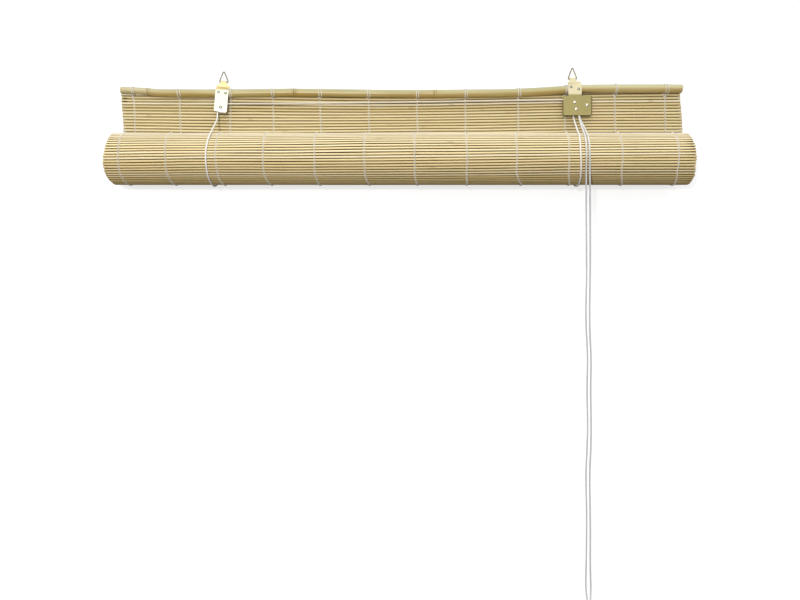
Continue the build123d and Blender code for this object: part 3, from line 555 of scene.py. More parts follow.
cords = {}
for side in ("left", "right"):
    pts = pull_line(side)
    line = spline_points("route_" + side, pts, 5)
    soup = Soup()
    tube(soup, line, cord_r + 0.1, 12)
    ob = soup.make("pull_cord_" + side + "_braid", cord_mat, 0)
    end = line[-1]
    ks = Soup()
    tube(ks, overhand((end[0], end[1], end[2] - 2.4), 0.95, 0.6 if side == "left" else 1.9), 1.22, 8, caps=False)
    tube(ks, [(end[0], end[1], end[2] + 1.5), (end[0], end[1], end[2] - 1.0), (end[0] + 0.2, end[1], end[2] - 3.0)], 1.28, 8)
    tube(ks, [(end[0] + 0.2, end[1], end[2] - 3.0), (end[0] + 0.3, end[1] + 0.1, end[2] - 5.4), (end[0] + 0.5, end[1] + 0.2, end[2] - 7.2)],
         [1.2, 1.28, 1.5], 8)
    knot = ks.make("end_knot_" + side + "_tied", cord_mat, 0)
    cords[side] = (ob, knot, line)
    print("pull cord", side, round(line_length(line)), "mm,", len(pts), "points, triangles", len(ob.data.polygons) * 2)

# three turns of cord round the middle of the hank, their end tucked under
ts = Soup()
mid_x = (hank_x["left"] + hank_x["right"]) / 2
half_w, half_d, cr = (hank_x["right"] - hank_x["left"]) / 2 + 8.2 + 1.35, 13.0 + 1.35, 5.0
wrap = []
turns = 3
for i in range(turns * 36 + 1):
    a = 2 * math.pi * i / 36
    c, s_ = math.cos(a), math.sin(a)
    e = 2 / 5.0
    wrap.append((mid_x + half_w * math.copysign(abs(c) ** e, c), front_y + half_d * math.copysign(abs(s_) ** e, s_),
                 hank_mid + 2.65 * (i / 36 - turns / 2)))
wrap = np.array(wrap)
seg = np.concatenate([[0], np.cumsum(np.linalg.norm(np.diff(wrap, axis=0), axis=1))])
even = np.linspace(0, seg[-1], 260)
wrap = np.stack([np.interp(even, seg, wrap[:, i]) for i in range(3)], 1)
tube(ts, wrap, cord_r, 8)
tube(ts, [wrap[-1], wrap[-1] + (-1.0, -1.2, 1.6), wrap[-1] + (-3.5, -1.6, 1.2), wrap[-1] + (-6.5, -0.9, -1.2), wrap[-1] + (-8.5, -0.6, -4.5)], cord_r, 8)
tie = ts.make("hank_tie_wraps", cord_mat, 0)
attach(tie, "blind")
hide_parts("hank_tie")

for side in ("left", "right"):
    ob, knot, line = cords[side]
    for o in (ob, knot):
        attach(o, "blind")
    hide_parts("pull_cord_" + side, "cord_hank_" + side)
    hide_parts("end_knot_" + side)

# ------------------------------------------------------- head rail: the cane
line_x = np.array([c[0] for c in cane_line], float)
line_z = np.array([c[1] for c in cane_line], float)
line_r = np.array([c[2] for c in cane_line], float)


def cane_at(x):
    return float(np.interp(x, line_x, line_z)), float(np.interp(x, line_x, line_r))


def cane_mesh():
    xs = list(np.arange(-500.0, 504.01, 3.0))
    for n in cane_nodes:
        xs = [x for x in xs if abs(x - n) > 7] + list(np.arange(n - 7, n + 7.01, 0.5))
    xs += [-499.6, 503.6, 504.0]
    xs = np.array(sorted(set(round(x, 2) for x in xs)))
    # centreline, a little smoother than its corner points
    z = np.interp(xs, line_x, line_z)
    r = np.interp(xs, line_x, line_r)
    fine = np.linspace(-500, 504, 1005)
    for _ in range(1):
        zf = np.interp(fine, line_x, line_z)
        kern = np.hanning(21)
        kern /= kern.sum()
        pad = np.pad(zf, 10, mode="edge")
        z = np.interp(xs, fine, np.convolve(pad, kern, "valid"))
        rf = np.interp(fine, line_x, line_r)
        pad = np.pad(rf, 10, mode="edge")
        r = np.interp(xs, fine, np.convolve(pad, kern, "valid"))
    sides = 48
    a = np.linspace(0, 2 * math.pi, sides, endpoint=False)
    node = np.zeros_like(xs)
    for i, n in enumerate(cane_nodes):
        d = xs - n
        r = r + 0.42 * np.exp(-((d - 3.0) / 1.7) ** 2) - 0.42 * np.exp(-(d / 0.65) ** 2) + 0.16 * np.exp(-((d + 2.4) / 2.0) ** 2)
        node = np.maximum(node, np.exp(-(d / 0.8) ** 2))
        node = np.maximum(node, 0.35 * np.exp(-((d - 4.2) / 0.7) ** 2))
    r[0] -= 0.35
    r[-1] -= 0.3
    oval = 0.012 * np.cos(2 * a[None, :] + 0.004 * xs[:, None])
    lump = 0.05 * (np.sin(3 * a[None, :] + xs[:, None] / 31.0) + np.sin(2 * a[None, :] - xs[:, None] / 17.0))
    # a shallow groove runs up from each joint, on alternate sides
    groove = np.zeros((len(xs), sides))
    for i, n in enumerate(cane_nodes):
        side = math.pi * (0.62 if i % 2 else 1.62)
        reach = np.where(xs > n, np.exp(-((xs - n) / 42.0) ** 2), 0.0)
        ang = np.angle(np.exp(1j * (a - side)))
        groove += 0.32 * reach[:, None] * np.exp(-(ang / 0.42) ** 2)[None, :]
    rr = r[:, None] * (1 + oval) + lump - groove
    y = rr * np.cos(a)[None, :]
    zz = z[:, None] + rr * np.sin(a)[None, :]
    shear = np.clip((xs - 490) / 14.0, 0, 1)[:, None]
    xx = xs[:, None] + shear * (0.15 * (zz - z[:, None]) - 0.9)
    v = np.stack([xx, y, zz], -1)
    stain = np.zeros((len(xs), sides))
    for sx, sa, wx, wa, amount in [(465, 4.4, 9, 0.9, 0.95), (452, 4.9, 5, 0.5, 0.5), (60, 4.0, 12, 1.3, 0.8), (71, 3.6, 6, 0.7, 0.6), (-190, 4.2, 9, 1.0, 0.7), (-186, 3.1, 4, 0.9, 0.55), (305, 4.4, 8, 1.2, 0.5),
                                   (-451, 4.2, 5, 1.5, 0.6), (-500, 4.0, 6, 1.5, 0.45), (497, 4.5, 10, 0.9, 0.85), (-120, 4.5, 26, 0.6, 0.35), (180, 4.4, 30, 0.5, 0.35)]:
        ang = np.angle(np.exp(1j * (a - sa)))
        stain = np.maximum(stain, amount * np.exp(-((xs[:, None] - sx) / wx) ** 2) * np.exp(-(ang[None, :] / wa) ** 2))
    # the underside is coloured darker brown all along
    under = np.angle(np.exp(1j * (a - 1.5 * math.pi)))
    stain = np.maximum(stain, 0.78 * np.clip((1.8 - np.abs(under)) / 0.6, 0, 1)[None, :] * (0.85 + 0.15 * np.sin(xs / 37.0))[:, None])
    stain *= (xs > -451)[:, None] * 0.7 + 0.3
    val = np.stack([np.repeat(node[:, None], sides, 1), stain, np.zeros_like(stain)], -1)
    soup = Soup()
    soup.add(v.reshape(-1, 3), ring_faces(len(xs), sides), None, val.reshape(-1, 3))
    # the ends: cut wood, a bore and the first diaphragm inside it
    for end, way in ((0, 1), (len(xs) - 1, -1)):
        base = v[end]
        mid = base.mean(0)
        rings = [(1.0, 0.0, 0.6), (0.93, -0.15 * way, 1.0), (0.55, -0.1 * way, 1.0), (0.42, 0.0, 0.75), (0.38, 1.2 * way, 0.3), (0.37, 16.0 * way, 0.0), (0.3, 17.0 * way, 0.0), (0.02, 17.4 * way, 0.0)]
        pv, pe = [], []
        for scale_, dx, e in rings:
            p = mid + (base - mid) * scale_
            p[:, 0] += dx
            pv.append(p)
            # painted shade: the stain value is 0.85 deep in the bore, so the inside darkens to brown
            pe.append(np.stack([np.full(sides, 0.0), np.full(sides, 0.85 if e < 0.2 else (0.1 if e > 0.9 else 0.4)), np.full(sides, e)], -1))
        f = ring_faces(len(rings), sides)
        if way == 1:
            f = [q[::-1] for q in f]
        soup.add(np.concatenate(pv), f, None, np.concatenate(pe))
    return soup.make("head_rail_culm", cane_mat, 35)


cane = cane_mesh()
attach(cane, "blind")
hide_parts("headrail_cane")


# ---------------------------------------------------------------- the sticks
def section(w, t, sides=14, power=3.2):
    """A rounded split-stick section: across by thick."""
    a = np.linspace(0, 2 * math.pi, sides, endpoint=False) + math.pi / sides
    e = 2 / power
    c, s = np.cos(a), np.sin(a)
    px = w * np.sign(c) * np.abs(c) ** e
    py = t * np.sign(s) * np.abs(s) ** e
    return px, py


def stick(soup, xs, place, w, th, tone, seed, gen, wander=0.2, sides=14, narrow=0.0, dark=0.0, room=None, edge=0.6):
    """One stick through the stations xs. place(x, off) gives, for an offset across
    the stick, its middle (y, z), the way out of the mat and the way across."""
    m = len(xs)
    px, py = section(1.0, 1.0, sides)
    many = m > 4
    drift = smooth_noise(m, 6, wander, gen) if many else np.zeros(m)
    rise = smooth_noise(m, 7, wander * 0.4, gen) if many else np.zeros(m)
    wide = w * (1 + (smooth_noise(m, 5, 0.03, gen) if many else np.zeros(m)))
    if room is not None:
        wide = room
    thick = np.full(m, th)
    joint = np.zeros(m)
    if many:
        j = xs[0] + gen.uniform(30, 330)
        while j < xs[-1] - 8:
            joint = np.maximum(joint, gen.uniform(0.15, 0.6) * np.exp(-((xs - j) / 3.4) ** 2))
            thick = thick * (1 + 0.10 * np.exp(-((xs - j) / 5.0) ** 2))
            j += gen.uniform(230, 380)
    if narrow:
        wide = wide * (1 - narrow * np.clip((xs - (xs[-1] - 13)) / 9, 0, 1))
    c, n, t = place(xs, drift)
    pitch_w = wide[:, None]
    u = px[None, :] * pitch_w
    q = py[None, :] * thick[:, None] + rise[:, None]
    y = c[0][:, None] + u * t[0][:, None] + q * n[0][:, None]
    z = c[1][:, None] + u * t[1][:, None] + q * n[1][:, None]
    for end in (0, -1):                            # the saw's small chamfer
        y[end] = y[end].mean() + (y[end] - y[end].mean()) * 0.88
        z[end] = z[end].mean() + (z[end] - z[end].mean()) * 0.88
    v = np.stack([np.repeat(xs[:, None], sides, 1), y, z], -1)
    suv = np.stack([np.repeat(xs[:, None], sides, 1), px[None, :] * wide[:, None] + py[None, :] * 0.9, np.full((m, sides), seed)], -1)
    # painted shade on the sides of each stick, rising from 0 at edge to 1 at the side
    flank_shade = np.repeat((np.clip((np.abs(px) - edge) / 0.3, 0, 1) ** 0.9)[None, :], m, 0)
    if dark > 0:                                   # painted shade: near the right end the flanks darken to near-black between the narrowed tips
        flank_shade = flank_shade + dark * np.clip((xs - (xs[-1] - 12)) / 6, 0, 1)[:, None] * (flank_shade > 0.5)
    # painted shade: near the left end the lower flank darkens to near-black and the stick is narrowed, for a dark gap
    if dark < 0:
        flank_shade = flank_shade - dark * (np.abs(xs - xs[0] - 6.0) < 4.6)[:, None] * (px < -0.3)[None, :]
        wide = wide * (1 - 0.1 * (np.abs(xs - xs[0] - 6.0) < 4.6))
    val = np.stack([np.full((m, sides), tone), flank_shade, np.repeat(joint[:, None], sides, 1)], -1)
    f = ring_faces(m, sides)
    f.append(list(range(sides))[::-1])
    f.append([(m - 1) * sides + i for i in range(sides)])
    soup.add(v.reshape(-1, 3), f, suv.reshape(-1, 3), val.reshape(-1, 3))


# The hanging sticks follow the crooked cane: height of the fourth stick along the
# blind, and the spacing there. Lower down they level out to meet the roll.
hang_x = [-500, -480, -441, -401, -362, -283, -243, -204, -164, -125, -85, -46, -6, 33, 73, 112, 152, 191, 231, 270, 349, 389, 428, 468, 500]
hang_z = [-63.4, -63.5, -63.7, -63.8, -63.9, -64.4, -64.8, -65.2, -65.5, -65.9, -66.1, -66.2, -66.1, -65.8, -65.3, -64.6, -63.8, -63.0, -62.3, -61.5,
          -60.1, -59.8, -59.5, -59.2, -59.0]
hang_p = [5.35, 5.35, 5.37, 5.42, 5.48, 5.55, 5.48, 5.42, 5.35, 5.24, 5.15, 5.07, 5.05, 5.02, 5.05, 5.11, 5.18, 5.20, 5.20, 5.22, 5.26, 5.29, 5.31, 5.35, 5.36]
gen = np.random.default_rng(77)


def hang_at(k, x):
    """Height of hanging stick k at x."""
    z = np.interp(x, hang_x, hang_z) - (k - 3) * np.interp(x, hang_x, hang_p)
    level = -49.3 - 5.44 * k
    b = np.clip((k - 11) / 9.0, 0, 1)
    b = b * b * (3 - 2 * b)
    return z * (1 - b) + level * b


def hang_y(k, x, z):
    """The mat's plane, pushed back where the stick would meet the cane."""
    cz, cr = np.interp(x, line_x, line_z), np.interp(x, line_x, line_r)
    reach = cr ** 2 - np.clip(np.abs(z + 1.3 - cz), 0, 20) ** 2
    back = np.sqrt(np.clip(reach, 0, None)) + slat_t * 0.85
    return np.maximum(mat_y, back)


flat = Soup()
for k in range(-1, flat_count):                     # the first one hides behind the cane
    slide = min(1.1, k / 12.0)
    x0 = -501.3 + 4.6 * slide + gen.normal(0, 0.3)
    x1 = 502.0 + 4.4 * slide + gen.normal(0, 0.3)
    xs = np.linspace(x0, x1, 150)

    def place(x, off, k=k):
        z = hang_at(k, x) + off
        y = hang_y(k, x, z)
        one, nil = np.ones_like(x), np.zeros_like(x)
        return (y, z), (-one, nil), (nil, one)
    stick(flat, xs, place, 2.6, slat_t, float(np.clip(gen.normal(0.5, 0.2), 0, 1)), gen.uniform(0, 1), gen, wander=0.1, dark=-1.0 if k in (0, 1) else 0.0,
          room=np.interp(xs, hang_x, hang_p) * (0.495 if k < 12 else 0.5), edge=0.46)
flat_ob = flat.make("hanging_sticks", stick_mat, 60)
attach(flat_ob, "blind")
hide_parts("hanging_slats")

# the roll, wound stick by stick from the foot of the hanging part
roll_end_r = 7.0 + 0.3 + slat_t
angles, a_, gone = [], 0.0, 0.0
while True:
    r_ = roll_r0 - turn_pitch * a_ / (2 * math.pi)
    if r_ < roll_end_r:
        break
    angles.append(a_)
    a_ += roll_pitch / r_
# The mat is wound a little askew, so the sticks climb to the right across the
# roll's front: arc height above the front at three places, by x.
askew_x = [-500, -467, -433, -400, -366, -332, -298, -264, -231, -197, -163, -129, -95, -62, -28, 6, 40, 74, 107, 141, 175, 209, 243, 276, 310, 344, 378, 412, 445, 500]
askew_low = [-26.95, -26.78, -26.52, -26.04, -25.35, -24.99, -24.83, -24.86, -25.08, -25.23, -25.13, -24.80, -24.63, -24.46, -24.23, -23.93, -23.58, -23.18,
             -22.82, -22.39, -21.95, -21.31, -20.68, -19.97, -19.46, -19.04, -18.97, -18.89, -18.78, -18.6]
askew_mid = [-2.95, -2.63, -2.10, -1.69, -1.23, -1.01, -0.82, -0.82, -1.03, -1.02, -0.74, -0.31, 0.01, 0.29, 0.56, 0.89, 1.24, 1.53, 1.82, 2.15, 2.62, 2.93,
             3.26, 3.75, 4.03, 4.46, 4.75, 5.0, 5.31, 5.7]
askew_up = [21.6, 22.0, 22.61, 22.71, 22.79, 22.93, 23.38, 24.02, 24.58, 24.83, 25.13, 25.5, 26.36, 27.03, 27.14, 27.4, 27.62, 27.79, 27.86, 27.95, 28.09,
            28.38, 28.34, 28.57, 29.4, 29.56, 29.72, 29.99, 30.27, 30.6]
arc = np.array([(a - math.pi) * 44.8 for a in angles])
low_i = int(np.argmin(np.abs(arc - (-23.6))))


def askew(i, x):
    """How far along the winding stick i stands from its even place, at x."""
    lo = np.interp(x, askew_x, askew_low) - arc[low_i]
    mi = np.interp(x, askew_x, askew_mid) - arc[low_i + 5]
    up = np.interp(x, askew_x, askew_up) - arc[low_i + 10]
    j = i - low_i
    if j < 0:
        f = max(0.0, 1 + j / float(low_i))
        return lo * f
    if j < 5:
        return lo + (mi - lo) * j / 5
    if j < 10:
        return mi + (up - mi) * (j - 5) / 5
    return up * max(0.0, 1 - (j - 10) / 60.0)


# where the sticks of the outer turn end, by the way they face (degrees, mm)
end_at = [0, 90, 108, 120, 129, 137, 150, 158, 165, 171, 178, 184, 190, 197, 205, 214, 224, 240, 260, 300, 360]
end_left = [0, 3, 2.8, 0.5, -1, -2.1, -2.5, -2.7, -2, -2.2, -1.2, -1.2, 0.3, 1.2, 1.6, 2.4, 3.6, 5, 5.2, 4, 1.5]
end_right = [0, 2.0, 2.0, 2.6, 2.4, 2.0, 0.6, 0.8, 1.2, 1.0, 0.4, 0.3, 0.3, 0.5, -1.2, -2.2, -3.5, -4.5, -4.8, -4, -1.5]

outer_soup, inner_soup = Soup(), Soup()
outer_count = len([a for a in angles if a < 2 * math.pi + 0.25])
for i, a_ in enumerate(angles):
    tone = float(np.clip(gen.normal(0.52, 0.2), 0, 1))
    turned = min(360.0, math.degrees(a_))
    outer = i < outer_count
    if outer:
        x0 = -501.0 + gen.normal(0, 0.35) + float(np.interp(turned, end_at, end_left))
        x1 = 499.0 + gen.normal(0, 0.35) + float(np.interp(turned, end_at, end_right))
    else:
        deg = math.degrees(a_) % 360.0
        x0 = -501.4 + gen.normal(0, 0.3) + float(np.interp(deg, end_at, end_left))
        x1 = 499.3 + gen.normal(0, 0.3) + float(np.interp(deg, end_at, end_right))

    def place(x, off, i=i, a_=a_, outer=outer):
        r = roll_r0 - turn_pitch * a_ / (2 * math.pi)
        a = a_ + ((askew(i, x) if outer else 0.0) + off) / r
        r = roll_r0 - turn_pitch * a / (2 * math.pi)
        ny, nz = np.cos(a), -np.sin(a)
        return (roll_y + r * ny, roll_z + r * nz), (ny, nz), (nz, -ny)
    if outer:
        face = math.degrees(a_)                  # 0 back, 90 under, 180 front, 270 top
        open_end = 0.3 if 158 < face < 212 else 0.05
        stick(outer_soup, np.linspace(x0, x1, 100), place, 1.98, slat_t, tone, gen.uniform(0, 1), gen, wander=0.09, narrow=open_end, dark=0.9 if open_end > 0.1 else 0.0)
    else:
        # painted shade: the sticks of the inner turns get a darker tone
        stick(inner_soup, np.array([x0, x0 + 6, x1 - 6, x1]), place, 2.1, slat_t, tone * 0.8, gen.uniform(0, 1), gen, sides=10)
for soup, name in ((outer_soup, "rolled_sticks_outer_turn"), (inner_soup, "rolled_sticks_inner_turns")):
    ob = soup.make(name, stick_mat, 60)
    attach(ob, "blind")
    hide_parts("rolled_mat")
    print(name, len(soup.v), "sticks,", sum(len(p.vertices) - 2 for p in ob.data.polygons), "triangles")


# ------------------------------------------------------------- twined warps
def twine(soup, base, count, half, strand_r=0.82, per=10):
    """Two strands that change sides between the sticks. base(s) gives the middle of
    the mat at stick s, and the way to the front."""
    s = np.linspace(-0.5, count - 0.5, int(count * per) + 1)
    mid, out_ = zip(*[base(q) for q in s])
    mid, out_ = np.array(mid), np.array(out_)
    for k in (0, 1):
        c = np.cos(math.pi * s + math.pi * k)
        out = (half + strand_r * 0.85) * np.sign(c) * np.abs(c) ** 0.3
        side = 0.95 * np.sin(math.pi * s + math.pi * k)
        p = mid + out_ * out[:, None]
        p[:, 0] += side
        tube(soup, p, strand_r * (0.92 + 0.08 * np.abs(c)), 6)


warp_soup = Soup()
for j, (xt, xf) in enumerate(zip(warp_top, warp_foot)):
    wav = smooth_noise(flat_count + 3, 3, 0.3, gen)

    def base(q, xt=xt, xf=xf, wav=wav):
        x = xt + (xf - xt) * (q + 0.5) / flat_count + float(np.interp(q, range(flat_count + 3), wav))
        z = float(hang_at(q, np.array([x]))[0])
        return (x, float(hang_y(q, np.array([x]), np.array([z]))[0]), z), (0.0, -1.0, 0.0)
    twine(warp_soup, base, flat_count, slat_t)
ob = warp_soup.make("hanging_warps", warp_mat, 0)
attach(ob, "blind")
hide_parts("warp_threads")

roll_warps = Soup()
idx = np.arange(outer_count)
shown = np.array(angles[:outer_count])
for j, xf in enumerate(warp_foot):
    wav = smooth_noise(outer_count + 4, 5, 0.35, gen)
    xr = warp_roll[j]

    def base(q, xf=xf, xr=xr, wav=wav):
        qq = min(max(q, 0.0), outer_count - 1.0)
        a = float(np.interp(qq, idx, shown)) + (q - qq) * roll_pitch / 44.0
        deg = math.degrees(a)
        t = min(1.0, max(0.0, (deg - 82) / 62.0))
        t = t * t * (3 - 2 * t)
        u = max(0.0, (deg - 215) / 145.0)
        x = xf + (xr - xf) * t + (1 - t) * (0.3 if xf < 0 else -1.6) - (xr - xf) * 0.5 * u + float(np.interp(q, range(outer_count + 4), wav))
        i0 = int(qq)
        f = qq - i0
        ax = np.array([x])
        sk = float(askew(i0, ax)[0]) * (1 - f) + float(askew(min(i0 + 1, outer_count - 1), ax)[0]) * f if i0 >= low_i or i0 < low_i else 0.0
        r = roll_r0 - turn_pitch * a / (2 * math.pi)
        a += sk / r
        r = roll_r0 - turn_pitch * a / (2 * math.pi)
        return (x, roll_y + r * math.cos(a), roll_z - r * math.sin(a)), (0.0, math.cos(a), -math.sin(a))
    twine(roll_warps, base, outer_count, slat_t, per=8)
ob = roll_warps.make("rolled_warps", warp_mat, 0)
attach(ob, "blind")
print("rolled warps", sum(len(p.vertices) - 2 for p in ob.data.polygons), "triangles")

# each warp is wrapped twice round the cane, its ends twisted into the first stick
lash = Soup()
for j, wx in enumerate(warp_top):
    lean = gen.normal(0, 0.5)
    wide_ = (3.2, 4.6, 3.4, 3.8, 4.0, 3.6, 3.8, 3.4, 3.8, 3.0, 2.6, 4.6)[j]
    pts = []
    n = 46
    for i in range(n + 1):
        f = i / n
        a = -math.pi / 2 + 0.35 + f * (4 * math.pi - 0.7) + 0.0
        x = wx + (f - 0.5) * 2 * wide_ + lean * math.sin(a) * 0.5
        z, r = cane_at(x)
        rr = r + 0.7 + 0.04 * math.sin(9 * f)
        pts.append((x, rr * math.cos(a), z + rr * math.sin(a)))
    z, r = cane_at(wx)
    top_z = first_slat_z + 2.6
    start = [(wx - 0.2, mat_y - 1.9, top_z - 2.6), (wx - 0.5, mat_y - 1.9, top_z - 0.2)]
    stop = [(wx + 0.5, mat_y + 1.8, top_z - 0.2), (wx + 0.2, mat_y + 1.8, top_z - 2.6)]
    line = spline_points("lash", start + pts + stop, 2)
    tube(lash, line, 0.78, 6)
ob = lash.make("warp_lashings_wrapped", warp_mat, 0)
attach(ob, "blind")
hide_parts("warp_lashings")

# ---------------------------------------------------------------- lift cords
# Round the roll they follow three arcs of falling radius, as the roll itself does.
r_back, r_front, r_top = 47.6, 46.9, 46.6
c1 = (back_cord_y - r_back, roll_z)
c2 = (c1[0], roll_z - r_back + r_front)
c3 = (c1[0] - r_front + r_top, c2[1])


def leave_angle(y, z):
    dy, dz = y - c3[0], z - c3[1]
    return math.pi / 2 - (math.acos(r_top / math.hypot(dy, dz)) - math.atan2(dy, dz))


def under_roll(x_of, top_z, exit_y, exit_z):
    """Corners of a lift cord's line: down the back, under the roll, up its front."""
    pts = [(x_of(0), back_cord_y, top_z), (x_of(0), back_cord_y, top_z - 20), (x_of(0), back_cord_y, (top_z + roll_z) / 2),
           (x_of(0), back_cord_y, roll_z + 9.4)]
    for (cy, cz), r, a0, a1, n in ((c1, r_back, 0, -math.pi / 2, 4), (c2, r_front, -math.pi / 2, -math.pi, 4)):
        for y, z in on_circle(cy, cz, r, a0, a1, n):
            pts.append((x_of(math.degrees(math.atan2(-(z - roll_z), y - roll_y)) % 360), y, z))
    a = leave_angle(exit_y, exit_z)
    for y, z in on_circle(c3[0], c3[1], r_top, math.pi, math.pi - a, 4):
        pts.append((x_of(math.degrees(math.atan2(-(z - roll_z), y - roll_y)) % 360), y, z))
    y1, z1 = c3[0] - r_top * math.cos(a), c3[1] + r_top * math.sin(a)
    d = np.array([exit_y - y1, exit_z - z1])
    d /= np.linalg.norm(d)
    h = r_top * math.tan(a / 8)
    pts.append((x_of(180 + math.degrees(a)), y1 + d[0] * h, z1 + d[1] * h))
    return pts


def left_x(a):
    # from the back, under the roll, to the front and the top of the roll
    return float(np.interp(a, [0, 60, 95, 130, 160, 185, 215, 240], [-326.2, -324.6, -325.2, -328.2, -328.4, -328.2, -325.9, -324.7]))


def right_x(a):
    return float(np.interp(a, [0, 60, 95, 130, 160, 185, 215, 240], [304.0, 306.0, 308.6, 307.0, 304.4, 303.3, 303.6, 305.0]))


z_kn = cane_at(lift_l_x)[0] + 1.9
left_pts = under_roll(left_x, z_kn, lw_y, -77.6)
slope = ((uw_z + uw_cord_r) - (lw_z + lw_cord_r)) / (uw_x - lw_x)
wheel_top = lw_z + lw_cord_r
h = lw_cord_r * math.tan(math.pi / 8)
left_pts += [(-325.4, lw_y - 6.0, -91.0), (-326.2, lw_y, -79.6), (-326.2, lw_y, lw_z - h * 0.6)]
for x, z in on_circle(lw_x, lw_z, lw_cord_r, math.pi, math.pi / 2, 2):
    left_pts.append((x, lw_y, z))
left_pts.append((lw_x + h, lw_y, wheel_top + slope * h))
for f, sag in ((0.06, 0.1), (0.2, 0.45), (0.36, 0.75), (0.52, 0.85), (0.68, 0.7), (0.84, 0.4), (0.95, 0.1)):
    x = lw_x + f * (uw_x - lw_x)
    left_pts.append((x, lw_y + f * (lane_a - lw_y), wheel_top + slope * (x - lw_x) - sag))
h = uw_cord_r * math.tan(math.pi / 8)
left_pts.append((uw_x - h, lane_a, uw_z + uw_cord_r))
for x, z in on_circle(uw_x, uw_z, uw_cord_r, math.pi / 2, 0, 2):
    left_pts.append((x, lane_a, z))
left_pts += [(uw_x + uw_cord_r + 0.05, lane_a, uw_z - h), (316.6, lane_a, -67.0), (318.22, lane_a, -71.0), (318.22, lane_a, -75.0)]

z_kr = cane_at(lift_r_x)[0] + 1.9
right_pts = under_roll(right_x, z_kr, lane_b, -85.2)
right_pts += [(308.6, lane_b - 4.0, -89.0), (308.7, lane_b, -82.0), (306.5, lane_b, -75.5), (304.3, lane_b, -66.0)]
for x, z in on_circle(uw_x, uw_z, uw_cord_r, math.pi, 0, 3):
    right_pts.append((x, lane_b, z))
right_pts += [(uw_x + uw_cord_r + 0.05, lane_b, uw_z - h), (316.6, lane_b, -67.0), (318.22, lane_b, -71.0), (318.22, lane_b, -75.0)]

for side, pts, kx, kz in (("left", left_pts, lift_l_x, cane_at(lift_l_x)[0]), ("right", right_pts, lift_r_x, cane_at(lift_r_x)[0])):
    soup = Soup()
    line = spline_points("lift_" + side, pts, 8)
    tube(soup, line, cord_r + 0.1, 12)
    ob = soup.make("lift_cord_" + side + "_braid", lift_mat, 0)
    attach(ob, "blind")
    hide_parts("lift_cord_" + side)
    print("lift cord", side, round(line_length(line)), "mm")
ks = Soup()
for kx in (lift_l_x, lift_r_x):
    kz = cane_at(kx)[0]
    tube(ks, overhand((kx, back_cord_y - 0.2, kz + 4.3), 0.72, 0.4), 1.1, 8, caps=False)
    tube(ks, [(kx, back_cord_y, kz + 1.6), (kx, back_cord_y, kz + 4.0), (kx + 0.2, back_cord_y, kz + 5.6), (kx + 0.5, back_cord_y, kz + 7.4)], [1.3, 1.25, 1.2, 1.5], 8)
ob = ks.make("lift_cord_knots_tied", cord_mat, 0)
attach(ob, "blind")
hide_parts("lift_cord_knots")

# ------------------------------------------------ finishes of the CAD's pieces
finish_of = {
    "bottom_cane": cane_mat, "pulley_bracket": plate_left_mat, "lock_bracket": plate_right_mat,
    "bracket_screws_left": screw_mat, "bracket_screws_right": screw_mat, "pulley_rivet": screw_mat,
    "lock_rivet_upper": rivet_mat, "lock_rivet_lower": rivet_mat, "lock_rivet_cam": rivet_mat,
    "pulley_wheel": nylon_mat, "lock_upper_wheel": nylon_mat, "lock_lower_roller": lock_mat, "lock_cam": lock_mat,
    "hanging_ring_left": ring_mat, "hanging_ring_right": ring_mat, "cord_staples": screw_mat,
}
for name, mat in finish_of.items():
    me = nodes[name].data
    me.materials.clear()
    me.materials.append(mat)
    me.polygons.foreach_set("use_smooth", np.ones(len(me.polygons), bool))
    me.set_sharp_from_angle(angle=math.radians(32))

# ------------------------------------------------------- the room: wall, floor
def plane(name, corners, material):
    me = bpy.data.meshes.new(name)
    me.from_pydata(corners, [], [(0, 1, 2, 3)])
    me.materials.append(material)
    ob = link(bpy.data.objects.new(name, me))
    return ob


wall_mat = bpy.data.materials.new("white_wall")
wall_mat.use_nodes = True
t = wall_mat.node_tree
bs = t.nodes["Principled BSDF"]
bs.inputs["Base Color"].default_value = (0.38, 0.38, 0.38, 1)
bs.inputs["Roughness"].default_value = 0.9
bs.inputs["Specular IOR Level"].default_value = 0.1
bs.inputs["Emission Color"].default_value = (1, 1, 1, 1)
bs.inputs["Emission Strength"].default_value = 0.71
clear = t.nodes.new("ShaderNodeBsdfTransparent")
mixer = t.nodes.new("ShaderNodeMixShader")
geo = t.nodes.new("ShaderNodeNewGeometry")
t.links.new(geo.outputs["Backfacing"], mixer.inputs[0])
t.links.new(bs.outputs[0], mixer.inputs[1])
t.links.new(clear.outputs[0], mixer.inputs[2])
t.links.new(mixer.outputs[0], t.nodes["Material Output"].inputs["Surface"])
wy = 0.0135
wall = plane("wall", [(-1.6, wy, -1.3), (1.6, wy, -1.3), (1.6, wy, 0.7), (-1.6, wy, 0.7)], wall_mat)

floor_mat = bpy.data.materials.new("pale_floor")
floor_mat.use_nodes = True
fb = floor_mat.node_tree.nodes["Principled BSDF"]
fb.inputs["Base Color"].default_value = (0.8, 0.8, 0.79, 1)
fb.inputs["Roughness"].default_value = 0.7
floor = plane("floor", [(-3, -3, -1.3), (3, -3, -1.3), (3, 3, -1.3), (-3, 3, -1.3)], floor_mat)
for ob in (wall, floor):                        # seen, but they don't light the blind
    ob.visible_diffuse = ob.visible_glossy = ob.visible_transmission = ob.visible_shadow = False

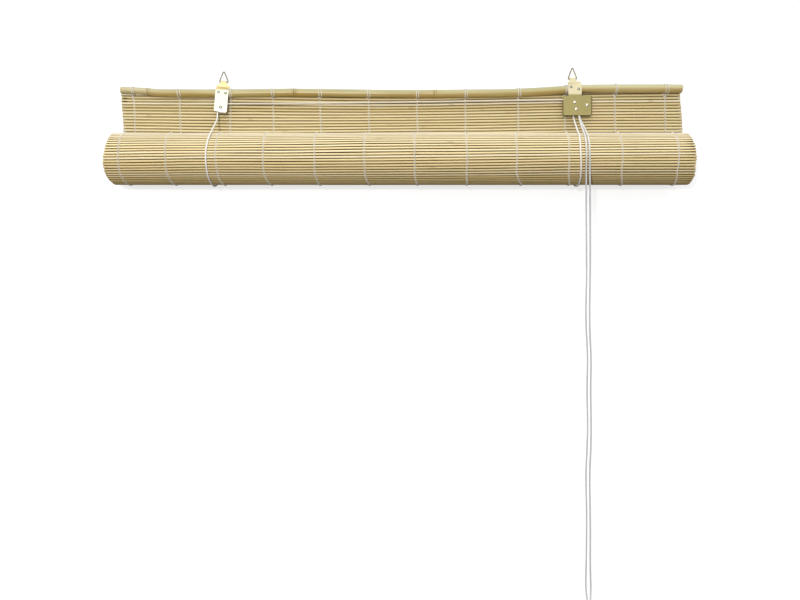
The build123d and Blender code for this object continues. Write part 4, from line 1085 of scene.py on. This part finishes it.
# an even studio: bright above, dim below, and plain white where it is seen
world = bpy.data.worlds.new("studio")
bpy.context.scene.world = world
world.use_nodes = True
wt = world.node_tree
bg = wt.nodes["Background"]
bg.inputs[0].default_value = (1, 1, 1, 1)
coord = wt.nodes.new("ShaderNodeTexCoord")
sep = wt.nodes.new("ShaderNodeSeparateXYZ")
grade = wt.nodes.new("ShaderNodeMapRange")
grade.interpolation_type = "SMOOTHSTEP"
grade.inputs["From Min"].default_value = -0.45
grade.inputs["From Max"].default_value = 0.5
grade.inputs["To Min"].default_value = 0.2
grade.inputs["To Max"].default_value = 1.36
path_ = wt.nodes.new("ShaderNodeLightPath")
pick = wt.nodes.new("ShaderNodeMix")
wt.links.new(coord.outputs["Generated"], sep.inputs[0])
wt.links.new(sep.outputs[2], grade.inputs["Value"])
behind = wt.nodes.new("ShaderNodeMapRange")         # less comes from behind the wall
behind.inputs["From Min"].default_value = -0.1
behind.inputs["From Max"].default_value = 0.6
behind.inputs["To Min"].default_value = 1.06
behind.inputs["To Max"].default_value = 0.95
wt.links.new(sep.outputs[1], behind.inputs["Value"])
both = wt.nodes.new("ShaderNodeMath")
both.operation = "MULTIPLY"
wt.links.new(grade.outputs[0], both.inputs[0])
wt.links.new(behind.outputs[0], both.inputs[1])
aside = wt.nodes.new("ShaderNodeMath")              # and less from either side
aside.operation = "ABSOLUTE"
wt.links.new(sep.outputs[0], aside.inputs[0])
dim = wt.nodes.new("ShaderNodeMapRange")
dim.inputs["From Min"].default_value = 0.3
dim.inputs["From Max"].default_value = 0.95
dim.inputs["To Min"].default_value = 1.08
dim.inputs["To Max"].default_value = 0.35
wt.links.new(aside.outputs[0], dim.inputs["Value"])
all_ = wt.nodes.new("ShaderNodeMath")
all_.operation = "MULTIPLY"
wt.links.new(both.outputs[0], all_.inputs[0])
wt.links.new(dim.outputs[0], all_.inputs[1])
wt.links.new(path_.outputs["Is Camera Ray"], pick.inputs[0])
wt.links.new(all_.outputs[0], pick.inputs[2])
pick.inputs[3].default_value = 0.97
wt.links.new(pick.outputs[0], bg.inputs[1])


def area(name, at, to, size, power, color=(1, 1, 1), size_y=None):
    d = bpy.data.lights.new(name, "AREA")
    d.energy, d.color = power, color
    d.size = size
    if size_y:
        d.shape, d.size_y = "RECTANGLE", size_y
    o = link(bpy.data.objects.new(name, d))
    o.location = at
    o.rotation_euler = (Vector(to) - Vector(at)).to_track_quat("-Z", "Y").to_euler()
    return o


area("key", (-0.37, -2.2, -0.17), (0, 0, -0.25), 0.12, 24.5)
bpy.context.scene.view_settings.view_transform = "Standard"
bpy.context.scene.view_settings.look = "None"
bpy.context.scene.view_settings.exposure = 0.0
bpy.context.scene.view_settings.gamma = 1.0
